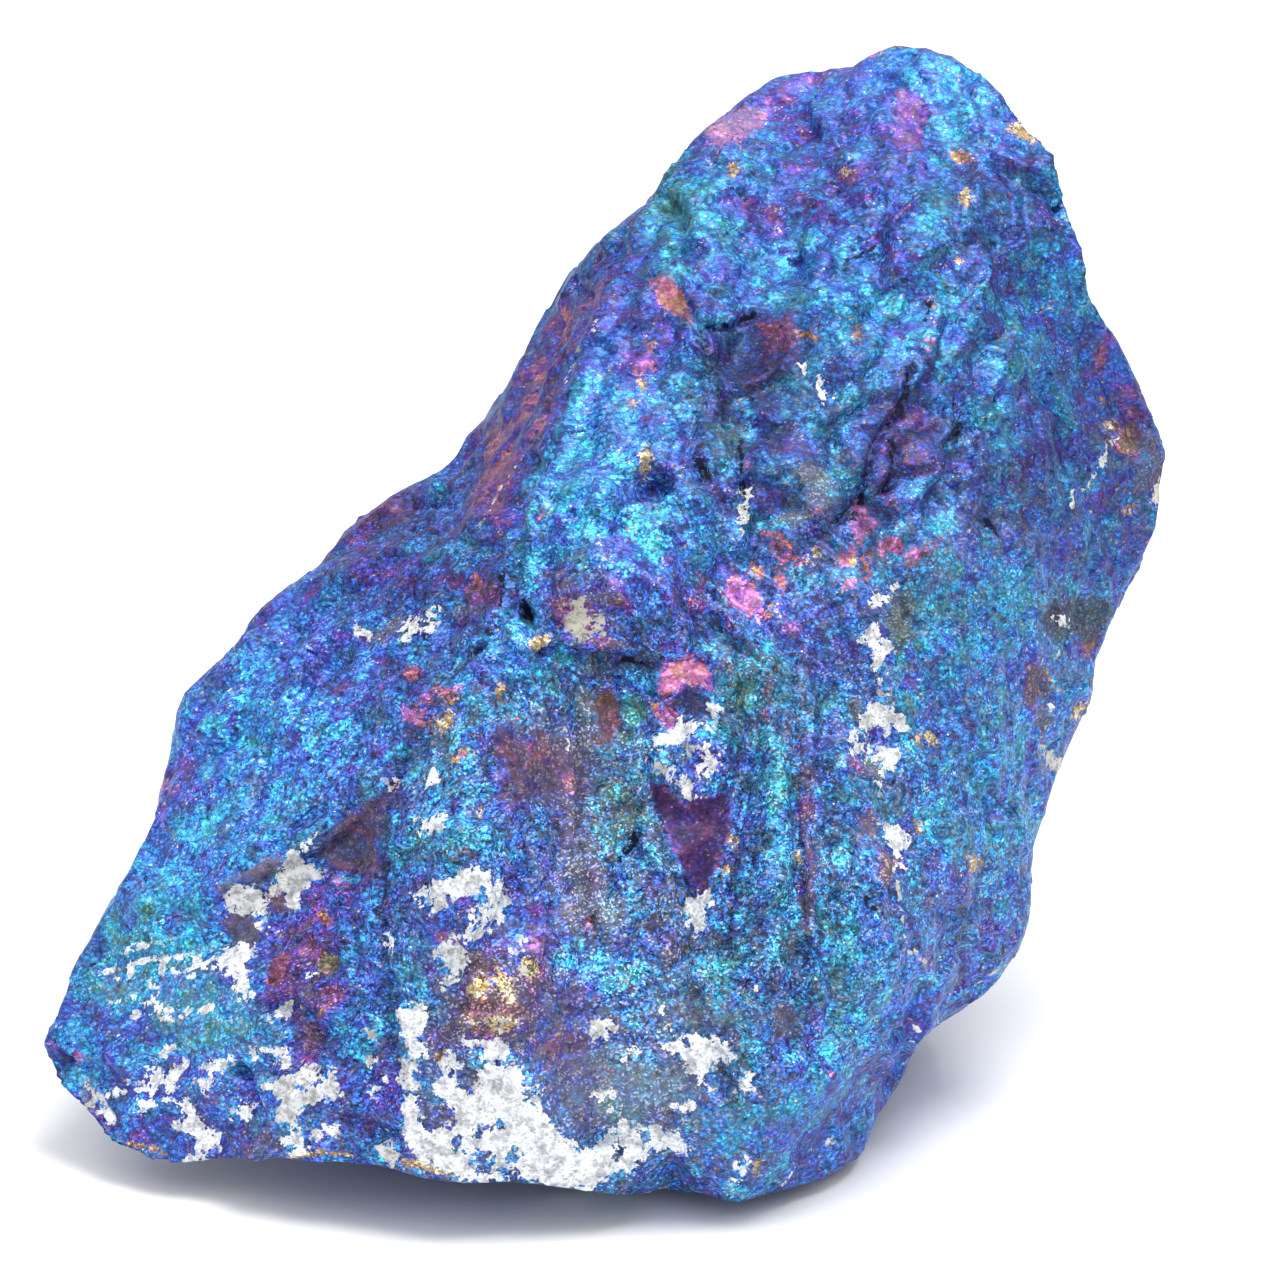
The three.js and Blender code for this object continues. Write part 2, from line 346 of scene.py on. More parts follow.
# raised ribs: places, half width and height in mm
PX_RIBS = [
    ([(770, 660), (772, 780), (768, 900), (775, 990)], 1.4, 0.7),
    ([(812, 700), (815, 800), (815, 900), (818, 1000)], 1.2, 0.7),
    ([(800, 780), (806, 880), (815, 1000)], 0.7, 0.6),
    ([(560, 640), (610, 648), (680, 645)], 1.2, 0.6),
    ([(210, 893), (262, 868), (330, 838), (375, 800)], 1.0, 0.7),
    ([(690, 155), (655, 205), (612, 290), (588, 370), (560, 440), (535, 510), (524, 560)], 1.5, 1.0),
    ([(340, 880), (350, 920), (345, 980)], 1.2, 0.7),
]
# hollows: place, radius and depth in mm
PX_HOLLOWS = [
    ((740, 345), 5.5, 1.6),
    ((1085, 612), 4.0, 1.8),
    ((600, 500), 4.5, -1.0),
    ((850, 300), 4.5, -0.6),
    ((690, 820), 4.0, 0.5),
    ((355, 840), 3.5, 1.0),
    ((300, 720), 6.0, -0.6),
    ((458, 452), 5.0, 3.2),
    ((438, 490), 2.6, -1.3),
    ((392, 506), 2.2, -0.9),
    ((412, 528), 2.4, 1.0),
]
# which way the broken grain runs: direction in the frame, then places with a radius in mm
PX_GRAIN = [
    ((-0.45, 0.9), [((880, 300), 26), ((560, 400), 20), ((960, 480), 16)]),
    ((0.05, 1.0), [((640, 820), 22), ((780, 850), 22), ((700, 420), 16), ((470, 850), 16)]),
    ((0.3, 1.0), [((930, 780), 26), ((1060, 500), 20)]),
    ((-0.75, 0.65), [((300, 720), 24), ((400, 600), 16)]),
    ((1.0, -0.25), [((200, 1010), 24), ((550, 1120), 20), ((320, 1120), 18)]),
]
GRAIN_ELSEWHERE = (0.4, 0.6)
# places with little relief: px over which the relief fades, and closed outlines
SMOOTH_SOFT = 24
PX_SMOOTH = [
    [(652, 785), (684, 800), (732, 795), (728, 830), (712, 880), (690, 884), (672, 845), (655, 815)],
    [(505, 722), (545, 740), (575, 765), (580, 800), (560, 850), (525, 850), (500, 790)],
    [(214, 890), (248, 868), (300, 845), (345, 820), (378, 800), (374, 872), (320, 880), (250, 905)],
    [(550, 1030), (700, 1000), (740, 1030), (690, 1110), (600, 1120), (545, 1090)],
    [(690, 1090), (780, 1090), (860, 1060), (890, 1080), (820, 1150), (740, 1190), (690, 1180)],
    [(404, 1100), (560, 1080), (590, 1180), (470, 1180), (410, 1150)],
    [(100, 960), (260, 960), (262, 1040), (180, 1060), (100, 1040)],
]


def chips_along(direction, points):
    """Chip relief drawn out along one direction of the frame."""
    right, up, _ = camera_axes()
    along = np.array((right * direction[0] - up * direction[1]).normalized())
    rise = np.zeros(len(points))
    for salt, (size, height, ratio) in enumerate(CHIPS):
        pressed = points - np.outer(points @ along, along) * (1 - 1 / ratio)
        rise += height * chip_noise(pressed, size, 11 + 7 * salt)
    return rise


def chip_relief(stone):
    """Chips over the whole stone, each part along its own grain."""
    points = wandered(stone.points, 4.0, 0.6, 71)
    rise = ELSEWHERE_WEIGHT * chips_along(GRAIN_ELSEWHERE, points)
    weights = np.full(len(points), ELSEWHERE_WEIGHT)
    for direction, spots in PX_GRAIN:
        share = sum(np.clip(stone.along_line([spot], reach), 0, 1) for spot, reach in spots) ** 3
        here = np.flatnonzero(share > 0.001)
        rise[here] += share[here] * chips_along(direction, points[here])
        weights += share
    return rise / weights


def hidden_grooves(stone):
    """1 along long wandering grooves on the hidden side, falling to 0 beside them; it sets their depth and
    their painted shade.
    """
    line = np.abs(soft_noise(stone.points, GROOVE_SPACING, 65))
    return np.clip(1 - line / GROOVE_SHARE, 0, 1) * hidden_side(stone)


def hidden_relief(stone):
    """Bigger broken faces and grooves on the side that the photograph doesn't show."""
    points = wandered(stone.points, 9.0, 1.5, 171)
    faces = FACE_HEIGHT * chip_noise(points, FACE_SIZE, 61) - HIDDEN_SINK
    return hidden_side(stone) * faces - GROOVE_DEPTH * hidden_grooves(stone)


def room_to_rise(stone):
    """How far each point can rise before it shows outside the outline that the camera sees."""
    eye = np.array(stone.eye)
    low = np.zeros(len(stone.points))
    high = np.full(len(stone.points), ROOM)
    near = np.flatnonzero(np.abs(stone.facing) < RIM_FACING)
    for _ in range(ROOM_STEPS):
        middle = (low + high) / 2
        places = stone.points[near] + stone.normals[near] * middle[near, None]
        for i, sight in zip(near, places - eye):
            if stone.tree.ray_cast(stone.eye, Vector(sight))[0] is None:
                high[i] = middle[i]
            else:
                low[i] = middle[i]
    low[np.abs(stone.facing) >= RIM_FACING] = ROOM
    return low


def kept_to_outline(stone, rise):
    """The relief, made lower where it would change the outline that the camera sees."""
    room = room_to_rise(stone)
    share = OUTLINE_WEAR + (1 - OUTLINE_WEAR) * smooth_step(room / (0.5 * ROOM))
    above = np.maximum(rise - room, 0)
    return np.where(rise < 0, rise * share, rise - (1 - OUTLINE_WEAR) * above)


def break_up(mesh, box):
    """Presses chips, cracks, ribs and hollows into the skin, and keeps it inside the box."""
    stone = Stone(mesh)
    smooth = np.zeros(len(stone.points))
    for outline in PX_SMOOTH:
        smooth = np.maximum(smooth, share_of(stone.in_outline(outline, SMOOTH_SOFT)))
    rise = chip_relief(stone) * (1 - SMOOTH_PLACES_LOSE * smooth) + hidden_relief(stone)
    for salt, (size, height) in enumerate(LUMPS):
        rise += height * soft_noise(stone.points, size, 51 + 7 * salt)
    rise = kept_to_outline(stone, rise)
    for places, reach, depth in PX_CRACKS:
        rise -= depth * np.clip(stone.along_line(places, reach), 0, 1) ** 0.8
    for places, reach, height in PX_RIBS:
        rise += height * np.clip(stone.along_line(places, reach), 0, 1)
    for place, reach, depth in PX_HOLLOWS:
        rise -= depth * smooth_step(stone.along_line([place], reach))
    set_points(mesh, stone.points + stone.normals * rise[:, None], box)


# ---------------------------------------------------------------- markings

# crust: tone (0 cream, 0.5 grey, 1 white) and closed outline
PX_CRUST = [
    (0.8, [(406, 895), (420, 891), (432, 882), (448, 878), (458, 867), (468, 867), (484, 871), (498, 880),
           (507, 892), (513, 905), (506, 917), (492, 923), (484, 914), (474, 914), (470, 921), (466, 916),
           (474, 909), (490, 903), (500, 901), (486, 898), (468, 896), (450, 898), (436, 898), (420, 901)]),
    (0.8, [(420, 905), (434, 900), (446, 902), (450, 908), (440, 914), (430, 912)]),
    (0.9, [(470, 926), (484, 920), (488, 932), (478, 942), (464, 944), (462, 936)]),
    (0.8, [(432, 955), (442, 944), (452, 938), (462, 942), (468, 955), (470, 966), (462, 974), (456, 984),
           (444, 988), (438, 982), (448, 976), (446, 966), (438, 960)]),
    (0.7, [(506, 957), (514, 944), (520, 932), (526, 944), (520, 954), (510, 960)]),
    (0.9, [(384, 934), (391, 931), (396, 944), (394, 958), (388, 948)]),
    (1.0, [(392, 1014), (402, 1008), (412, 1004), (424, 1003), (426, 1015), (420, 1030), (422, 1042),
           (430, 1058), (424, 1066), (416, 1056), (408, 1044), (400, 1034)]),
    (0.7, [(400, 1060), (414, 1058), (420, 1075), (422, 1090), (412, 1088), (399, 1088)]),
    (1.0, [(402, 1098), (410, 1088), (418, 1092), (420, 1112), (424, 1128), (436, 1132), (450, 1126),
           (458, 1118), (452, 1104), (436, 1100), (438, 1080), (442, 1062), (446, 1050), (456, 1056),
           (462, 1064), (452, 1074), (458, 1086), (470, 1092), (480, 1084), (478, 1062), (492, 1062),
           (504, 1064), (518, 1066), (526, 1078), (524, 1092), (530, 1104), (534, 1112), (546, 1117),
           (556, 1124), (560, 1134), (572, 1142), (584, 1152), (592, 1150), (598, 1136), (610, 1128),
           (622, 1120), (634, 1122), (646, 1126), (662, 1130), (680, 1132), (690, 1146), (686, 1158),
           (676, 1150), (664, 1148), (652, 1150), (644, 1158), (632, 1164), (636, 1172), (622, 1172),
           (610, 1174), (600, 1182), (594, 1190), (580, 1192), (560, 1190), (540, 1184), (528, 1180),
           (512, 1178), (490, 1182), (478, 1186), (464, 1184), (450, 1174), (436, 1166), (420, 1160),
           (410, 1150), (404, 1130), (400, 1112)]),
    (1.0, [(478, 1044), (488, 1038), (500, 1036), (508, 1046), (512, 1056), (500, 1060), (492, 1066),
           (482, 1058)]),
    (0.8, [(456, 1040), (466, 1036), (476, 1042), (470, 1050), (460, 1052)]),
    (1.0, [(620, 1062), (628, 1052), (640, 1047), (642, 1057), (632, 1063), (624, 1068)]),
    (1.0, [(588, 1096), (604, 1092), (606, 1082), (614, 1086), (618, 1096), (624, 1106), (614, 1110),
           (606, 1102), (596, 1100)]),
    (0.6, [(590, 1024), (602, 1016), (614, 1022), (610, 1036), (598, 1044), (592, 1034)]),
    (0.9, [(538, 1084), (542, 1090), (538, 1104), (530, 1112), (534, 1098)]),
    (1.0, [(660, 1040), (676, 1040), (690, 1040), (694, 1032), (706, 1034), (716, 1038), (726, 1036),
           (726, 1048), (738, 1056), (732, 1063), (724, 1062), (712, 1068), (706, 1078), (710, 1086),
           (722, 1093), (710, 1092), (700, 1078), (684, 1073), (682, 1062), (690, 1056), (682, 1052),
           (668, 1054), (664, 1048)]),
    (0.9, [(666, 1028), (673, 1028), (674, 1036), (668, 1035)]),
    (0.9, [(663, 1001), (667, 1010), (660, 1019)]),
    (0.8, [(665, 945), (670, 943), (675, 946), (675, 951), (670, 953), (665, 951)]),
    (0.8, [(729, 1181), (733, 1180), (735, 1184), (731, 1186)]),
    (1.0, [(718, 1102), (728, 1094), (738, 1088), (740, 1078), (750, 1068), (758, 1073), (763, 1082),
           (757, 1089), (746, 1090), (736, 1093), (726, 1099)]),
    (0.9, [(672, 1104), (682, 1100), (686, 1095), (697, 1102), (690, 1110), (684, 1117), (676, 1110)]),
    (1.0, [(734, 1164), (742, 1160), (748, 1152), (750, 1164), (744, 1176), (734, 1186), (732, 1180),
           (738, 1174)]),
    (0.6, [(650, 1193), (662, 1190), (676, 1196), (674, 1201), (660, 1198)]),
    (0.4, [(684, 1204), (700, 1202), (718, 1206), (716, 1212), (698, 1210)]),
    (0.9, [(684, 906), (690, 896), (700, 894), (714, 890), (712, 902), (704, 912), (702, 926), (698, 935),
           (688, 926), (682, 920), (688, 912)]),
    (1.0, [(645, 742), (652, 734), (662, 736), (662, 730), (672, 728), (680, 724), (680, 714), (688, 718),
           (697, 719), (699, 729), (692, 733), (690, 741), (680, 742), (668, 748), (660, 752), (652, 748)]),
    (0.9, [(702, 748), (708, 742), (711, 752), (716, 758), (725, 762), (720, 769), (708, 770), (704, 776),
           (697, 768), (704, 760)]),
    (0.5, [(680, 742), (690, 742), (697, 748), (690, 758), (684, 750)]),
    (0.6, [(645, 755), (652, 762), (660, 766), (673, 770), (670, 777), (658, 774), (648, 767)]),
    (0.6, [(705, 704), (716, 697), (719, 710), (718, 724), (710, 732), (706, 722), (710, 714)]),
    (0.6, [(672, 776), (684, 774), (694, 782), (700, 792), (707, 798), (698, 803), (686, 800), (682, 790)]),
    (0.62, [(284, 856), (292, 848), (302, 852), (304, 862), (316, 860), (326, 866), (324, 876), (312, 882),
           (302, 888), (299, 908), (289, 906), (284, 897), (276, 892), (266, 896), (272, 884), (280, 872)]),
    (0.62, [(222, 898), (228, 888), (240, 882), (250, 883), (260, 890), (266, 900), (270, 908), (262, 914),
           (250, 912), (240, 914), (230, 912), (224, 906)]),
    (0.9, [(256, 914), (270, 913), (270, 921), (262, 931), (258, 926)]),
    (0.9, [(294, 846), (306, 838), (317, 835), (312, 843), (300, 848)]),
    (1.0, [(124, 953), (136, 944), (149, 940), (151, 945), (138, 951), (128, 956)]),
    (1.0, [(158, 945), (172, 939), (173, 943), (162, 947)]),
    (1.0, [(190, 962), (204, 958), (214, 960), (224, 952), (236, 946), (248, 942), (256, 946), (250, 956),
           (246, 966), (252, 978), (250, 988), (257, 997), (250, 1001), (240, 996), (236, 988), (230, 974),
           (220, 970), (206, 970), (196, 966)]),
    (0.9, [(267, 1019), (276, 1006), (290, 1002), (298, 1008), (290, 1016), (278, 1018), (270, 1023)]),
    (1.0, [(145, 988), (158, 980), (159, 985), (148, 991)]),
    (1.0, [(136, 1007), (150, 999), (165, 1004), (150, 1009)]),
    (0.9, [(118, 1036), (128, 1033), (128, 1038), (119, 1039)]),
    (0.9, [(158, 1022), (170, 1017), (172, 1021), (160, 1025)]),
    (0.9, [(180, 1012), (186, 1007), (191, 1012), (184, 1015)]),
    (1.0, [(152, 1061), (158, 1054), (158, 1048), (166, 1040), (174, 1037), (175, 1048), (168, 1056),
           (160, 1063)]),
    (1.0, [(203, 1067), (214, 1058), (228, 1055), (239, 1061), (226, 1065), (220, 1071), (208, 1073)]),
    (1.0, [(190, 1090), (198, 1078), (212, 1074), (214, 1082), (224, 1082), (216, 1089), (204, 1091)]),
    (0.9, [(246, 1052), (252, 1044), (258, 1050), (257, 1059), (250, 1057)]),
    (0.8, [(262, 1050), (274, 1046), (286, 1049), (291, 1060), (284, 1065), (276, 1062), (272, 1056),
           (264, 1057)]),
    (1.0, [(100, 1088), (112, 1092), (122, 1086), (134, 1084), (146, 1080), (142, 1070), (154, 1070),
           (168, 1074), (176, 1068), (178, 1060), (188, 1062), (186, 1074), (178, 1080), (178, 1092),
           (170, 1096), (164, 1100), (150, 1096), (144, 1088), (128, 1090), (112, 1096), (102, 1099)]),
    (1.0, [(135, 1106), (144, 1102), (158, 1098), (159, 1106), (146, 1111), (137, 1111)]),
    (1.0, [(176, 1104), (190, 1099), (198, 1108), (200, 1120), (202, 1130), (216, 1132), (223, 1142),
           (220, 1151), (208, 1155), (200, 1150), (196, 1140), (186, 1134), (174, 1126), (167, 1124),
           (182, 1118), (180, 1110)]),
    (1.0, [(230, 1118), (232, 1110), (244, 1104), (254, 1099), (260, 1106), (252, 1116), (240, 1122)]),
    (0.7, [(256, 1092), (264, 1086), (276, 1080), (284, 1074), (296, 1070), (302, 1062), (312, 1062),
           (320, 1068), (332, 1072), (340, 1082), (342, 1094), (334, 1100), (322, 1100), (314, 1106),
           (302, 1108), (296, 1116), (288, 1126), (278, 1132), (276, 1118), (282, 1104), (272, 1096)]),
    (1.0, [(280, 1136), (290, 1132), (300, 1130), (302, 1138), (316, 1130), (332, 1126), (349, 1123),
           (342, 1133), (328, 1138), (316, 1144), (306, 1150), (300, 1156), (292, 1150), (284, 1148)]),
    (0.8, [(184, 1162), (190, 1152), (198, 1150), (204, 1160), (196, 1166)]),
    (1.0, [(364, 1062), (372, 1056), (381, 1060), (373, 1068), (366, 1071)]),
    (0.9, [(367, 1097), (374, 1084), (388, 1078), (391, 1082), (380, 1089), (372, 1099)]),
    (0.6, [(367, 1030), (378, 1029), (377, 1042), (368, 1038)]),
    (0.9, [(300, 979), (308, 969), (315, 974), (308, 983)]),
    (0.5, [(376, 1146), (390, 1140), (400, 1148), (398, 1162), (382, 1164)]),
    (0.35, [(518, 966), (527, 960), (534, 969), (529, 978), (520, 976)]),
    (0.35, [(491, 1020), (505, 1018), (509, 1026), (497, 1031)]),
    (0.1, [(566, 612), (574, 604), (580, 591), (584, 602), (588, 612), (590, 622), (588, 634), (584, 647),
           (578, 636), (568, 634), (566, 626)]),
    (0.2, [(591, 614), (600, 613), (607, 624), (602, 634), (596, 639), (592, 626)]),
    (0.9, [(356, 621), (364, 625), (372, 633), (379, 640), (368, 641), (358, 636)]),
    (0.6, [(398, 637), (404, 624), (412, 615), (419, 620), (418, 630), (429, 625), (426, 612), (432, 603),
           (441, 608), (441, 622), (430, 633), (416, 637), (404, 643)]),
    (0.6, [(383, 780), (390, 774), (400, 778), (401, 788), (390, 791)]),
    (1.0, [(422, 776), (430, 772), (436, 767), (439, 778), (434, 786), (428, 789)]),
    (1.0, [(417, 818), (428, 822), (436, 811), (447, 820), (444, 831), (432, 833), (424, 837)]),
    (0.9, [(817, 373), (822, 373), (825, 388), (833, 400), (826, 405), (820, 396)]),
    (0.5, [(738, 492), (748, 487), (755, 500), (744, 501)]),
    (0.4, [(740, 504), (747, 510), (743, 535), (738, 530)]),
    (0.7, [(862, 600), (876, 594), (886, 588), (901, 581), (894, 594), (884, 607), (874, 607)]),
    (0.6, [(860, 632), (872, 623), (884, 626), (876, 640), (864, 643)]),
    (0.8, [(880, 640), (890, 639), (893, 650), (886, 660), (880, 669), (872, 662), (876, 652), (866, 650)]),
    (0.8, [(876, 674), (885, 676), (887, 685), (880, 685)]),
    (0.6, [(864, 712), (870, 700), (878, 691), (885, 696), (882, 706), (890, 703), (896, 712), (904, 718),
           (911, 726), (904, 733), (894, 728), (890, 738), (884, 736), (880, 726), (872, 732), (862, 737),
           (858, 724)]),
    (0.6, [(849, 724), (856, 721), (858, 738), (866, 748), (862, 759), (852, 748)]),
    (0.8, [(866, 750), (878, 743), (890, 748), (903, 752), (902, 763), (892, 770), (884, 780), (878, 784),
           (882, 772), (880, 760), (870, 757)]),
    (0.9, [(884, 823), (896, 825), (907, 832), (906, 846), (902, 860), (905, 869), (898, 869), (894, 854),
           (886, 842), (882, 832)]),
    (0.7, [(1053, 622), (1058, 611), (1067, 616), (1067, 627), (1058, 629)]),
    (0.4, [(1040, 744), (1052, 750), (1065, 765), (1056, 776), (1046, 765)]),
    (0.3, [(1148, 500), (1158, 480), (1166, 484), (1158, 504)]),
]
# holes in the crust: closed outlines
PX_CRUST_HOLES = [
    [(433, 1106), (442, 1105), (447, 1114), (440, 1122), (434, 1117)],
    [(464, 1154), (478, 1148), (495, 1152), (490, 1160), (472, 1162)],
    [(510, 1156), (518, 1147), (522, 1158), (518, 1173), (508, 1177), (503, 1168)],
    [(466, 1168), (480, 1162), (494, 1166), (482, 1174), (470, 1176)],
    [(610, 1150), (616, 1140), (623, 1152), (616, 1163)],
    [(635, 1138), (645, 1134), (650, 1142), (640, 1146)],
    [(452, 1150), (458, 1136), (464, 1134), (462, 1148)],
    [(476, 1132), (500, 1121), (504, 1126), (482, 1137)],
    [(161, 1080), (167, 1079), (166, 1097), (160, 1095)],
    [(750, 1079), (756, 1077), (757, 1083), (751, 1084)],
    [(300, 1086), (322, 1074), (326, 1079), (306, 1092)],
    [(482, 890), (487, 886), (489, 896), (484, 898)],
]
# thin crust lines: tone, half width in mm, places
PX_VEINS = [
    (0.4, 0.35, [(1122, 436), (1108, 448), (1100, 468), (1088, 485), (1075, 492), (1070, 515)]),
    (0.5, 0.3, [(799, 358), (803, 366), (806, 378)]),
    (0.4, 0.3, [(1057, 690), (1050, 712), (1044, 735)]),
    (0.5, 0.3, [(1038, 664), (1048, 660), (1058, 655)]),
    (0.4, 0.28, [(878, 782), (880, 800)]),
    (0.4, 0.28, [(893, 872), (898, 890), (903, 920), (906, 948), (925, 962)]),
    (0.8, 0.28, [(784, 1186), (796, 1166), (812, 1152), (832, 1140)]),
    (0.9, 0.28, [(904, 1062), (912, 1042), (922, 1026)]),
    (0.7, 0.26, [(418, 772), (420, 752), (421, 740)]),
    (0.8, 0.26, [(559, 700), (563, 725), (569, 747)]),
    (0.8, 0.26, [(757, 985), (760, 1000)]),
    (0.5, 0.26, [(1040, 940), (1005, 965), (975, 985)]),
    (0.9, 0.36, [(110, 968), (150, 960), (190, 955)]),
    (0.9, 0.36, [(120, 978), (165, 972), (200, 976)]),
    (0.9, 0.36, [(130, 1016), (170, 1010), (215, 1008)]),
    (0.9, 0.36, [(108, 1004), (140, 996)]),
    (0.2, 0.24, [(600, 315), (585, 340), (572, 365), (560, 395)]),
    (0.2, 0.24, [(530, 445), (510, 475), (495, 500), (480, 525)]),
]


def patch(film, outline, brightness_and_painted_light=1.0, dull=0.0, grit=1.0):
    """A patch of film: its number on FILM_RAMP, brightness (partly painted light and shade), greyness and
    sparkle inside an outline.
    """
    return {"outline": outline, "film": film, "brightness_and_painted_light": brightness_and_painted_light, "dull": dull, "grit": grit}


FILM_MARKS = ("film", "brightness_and_painted_light", "dull", "grit")
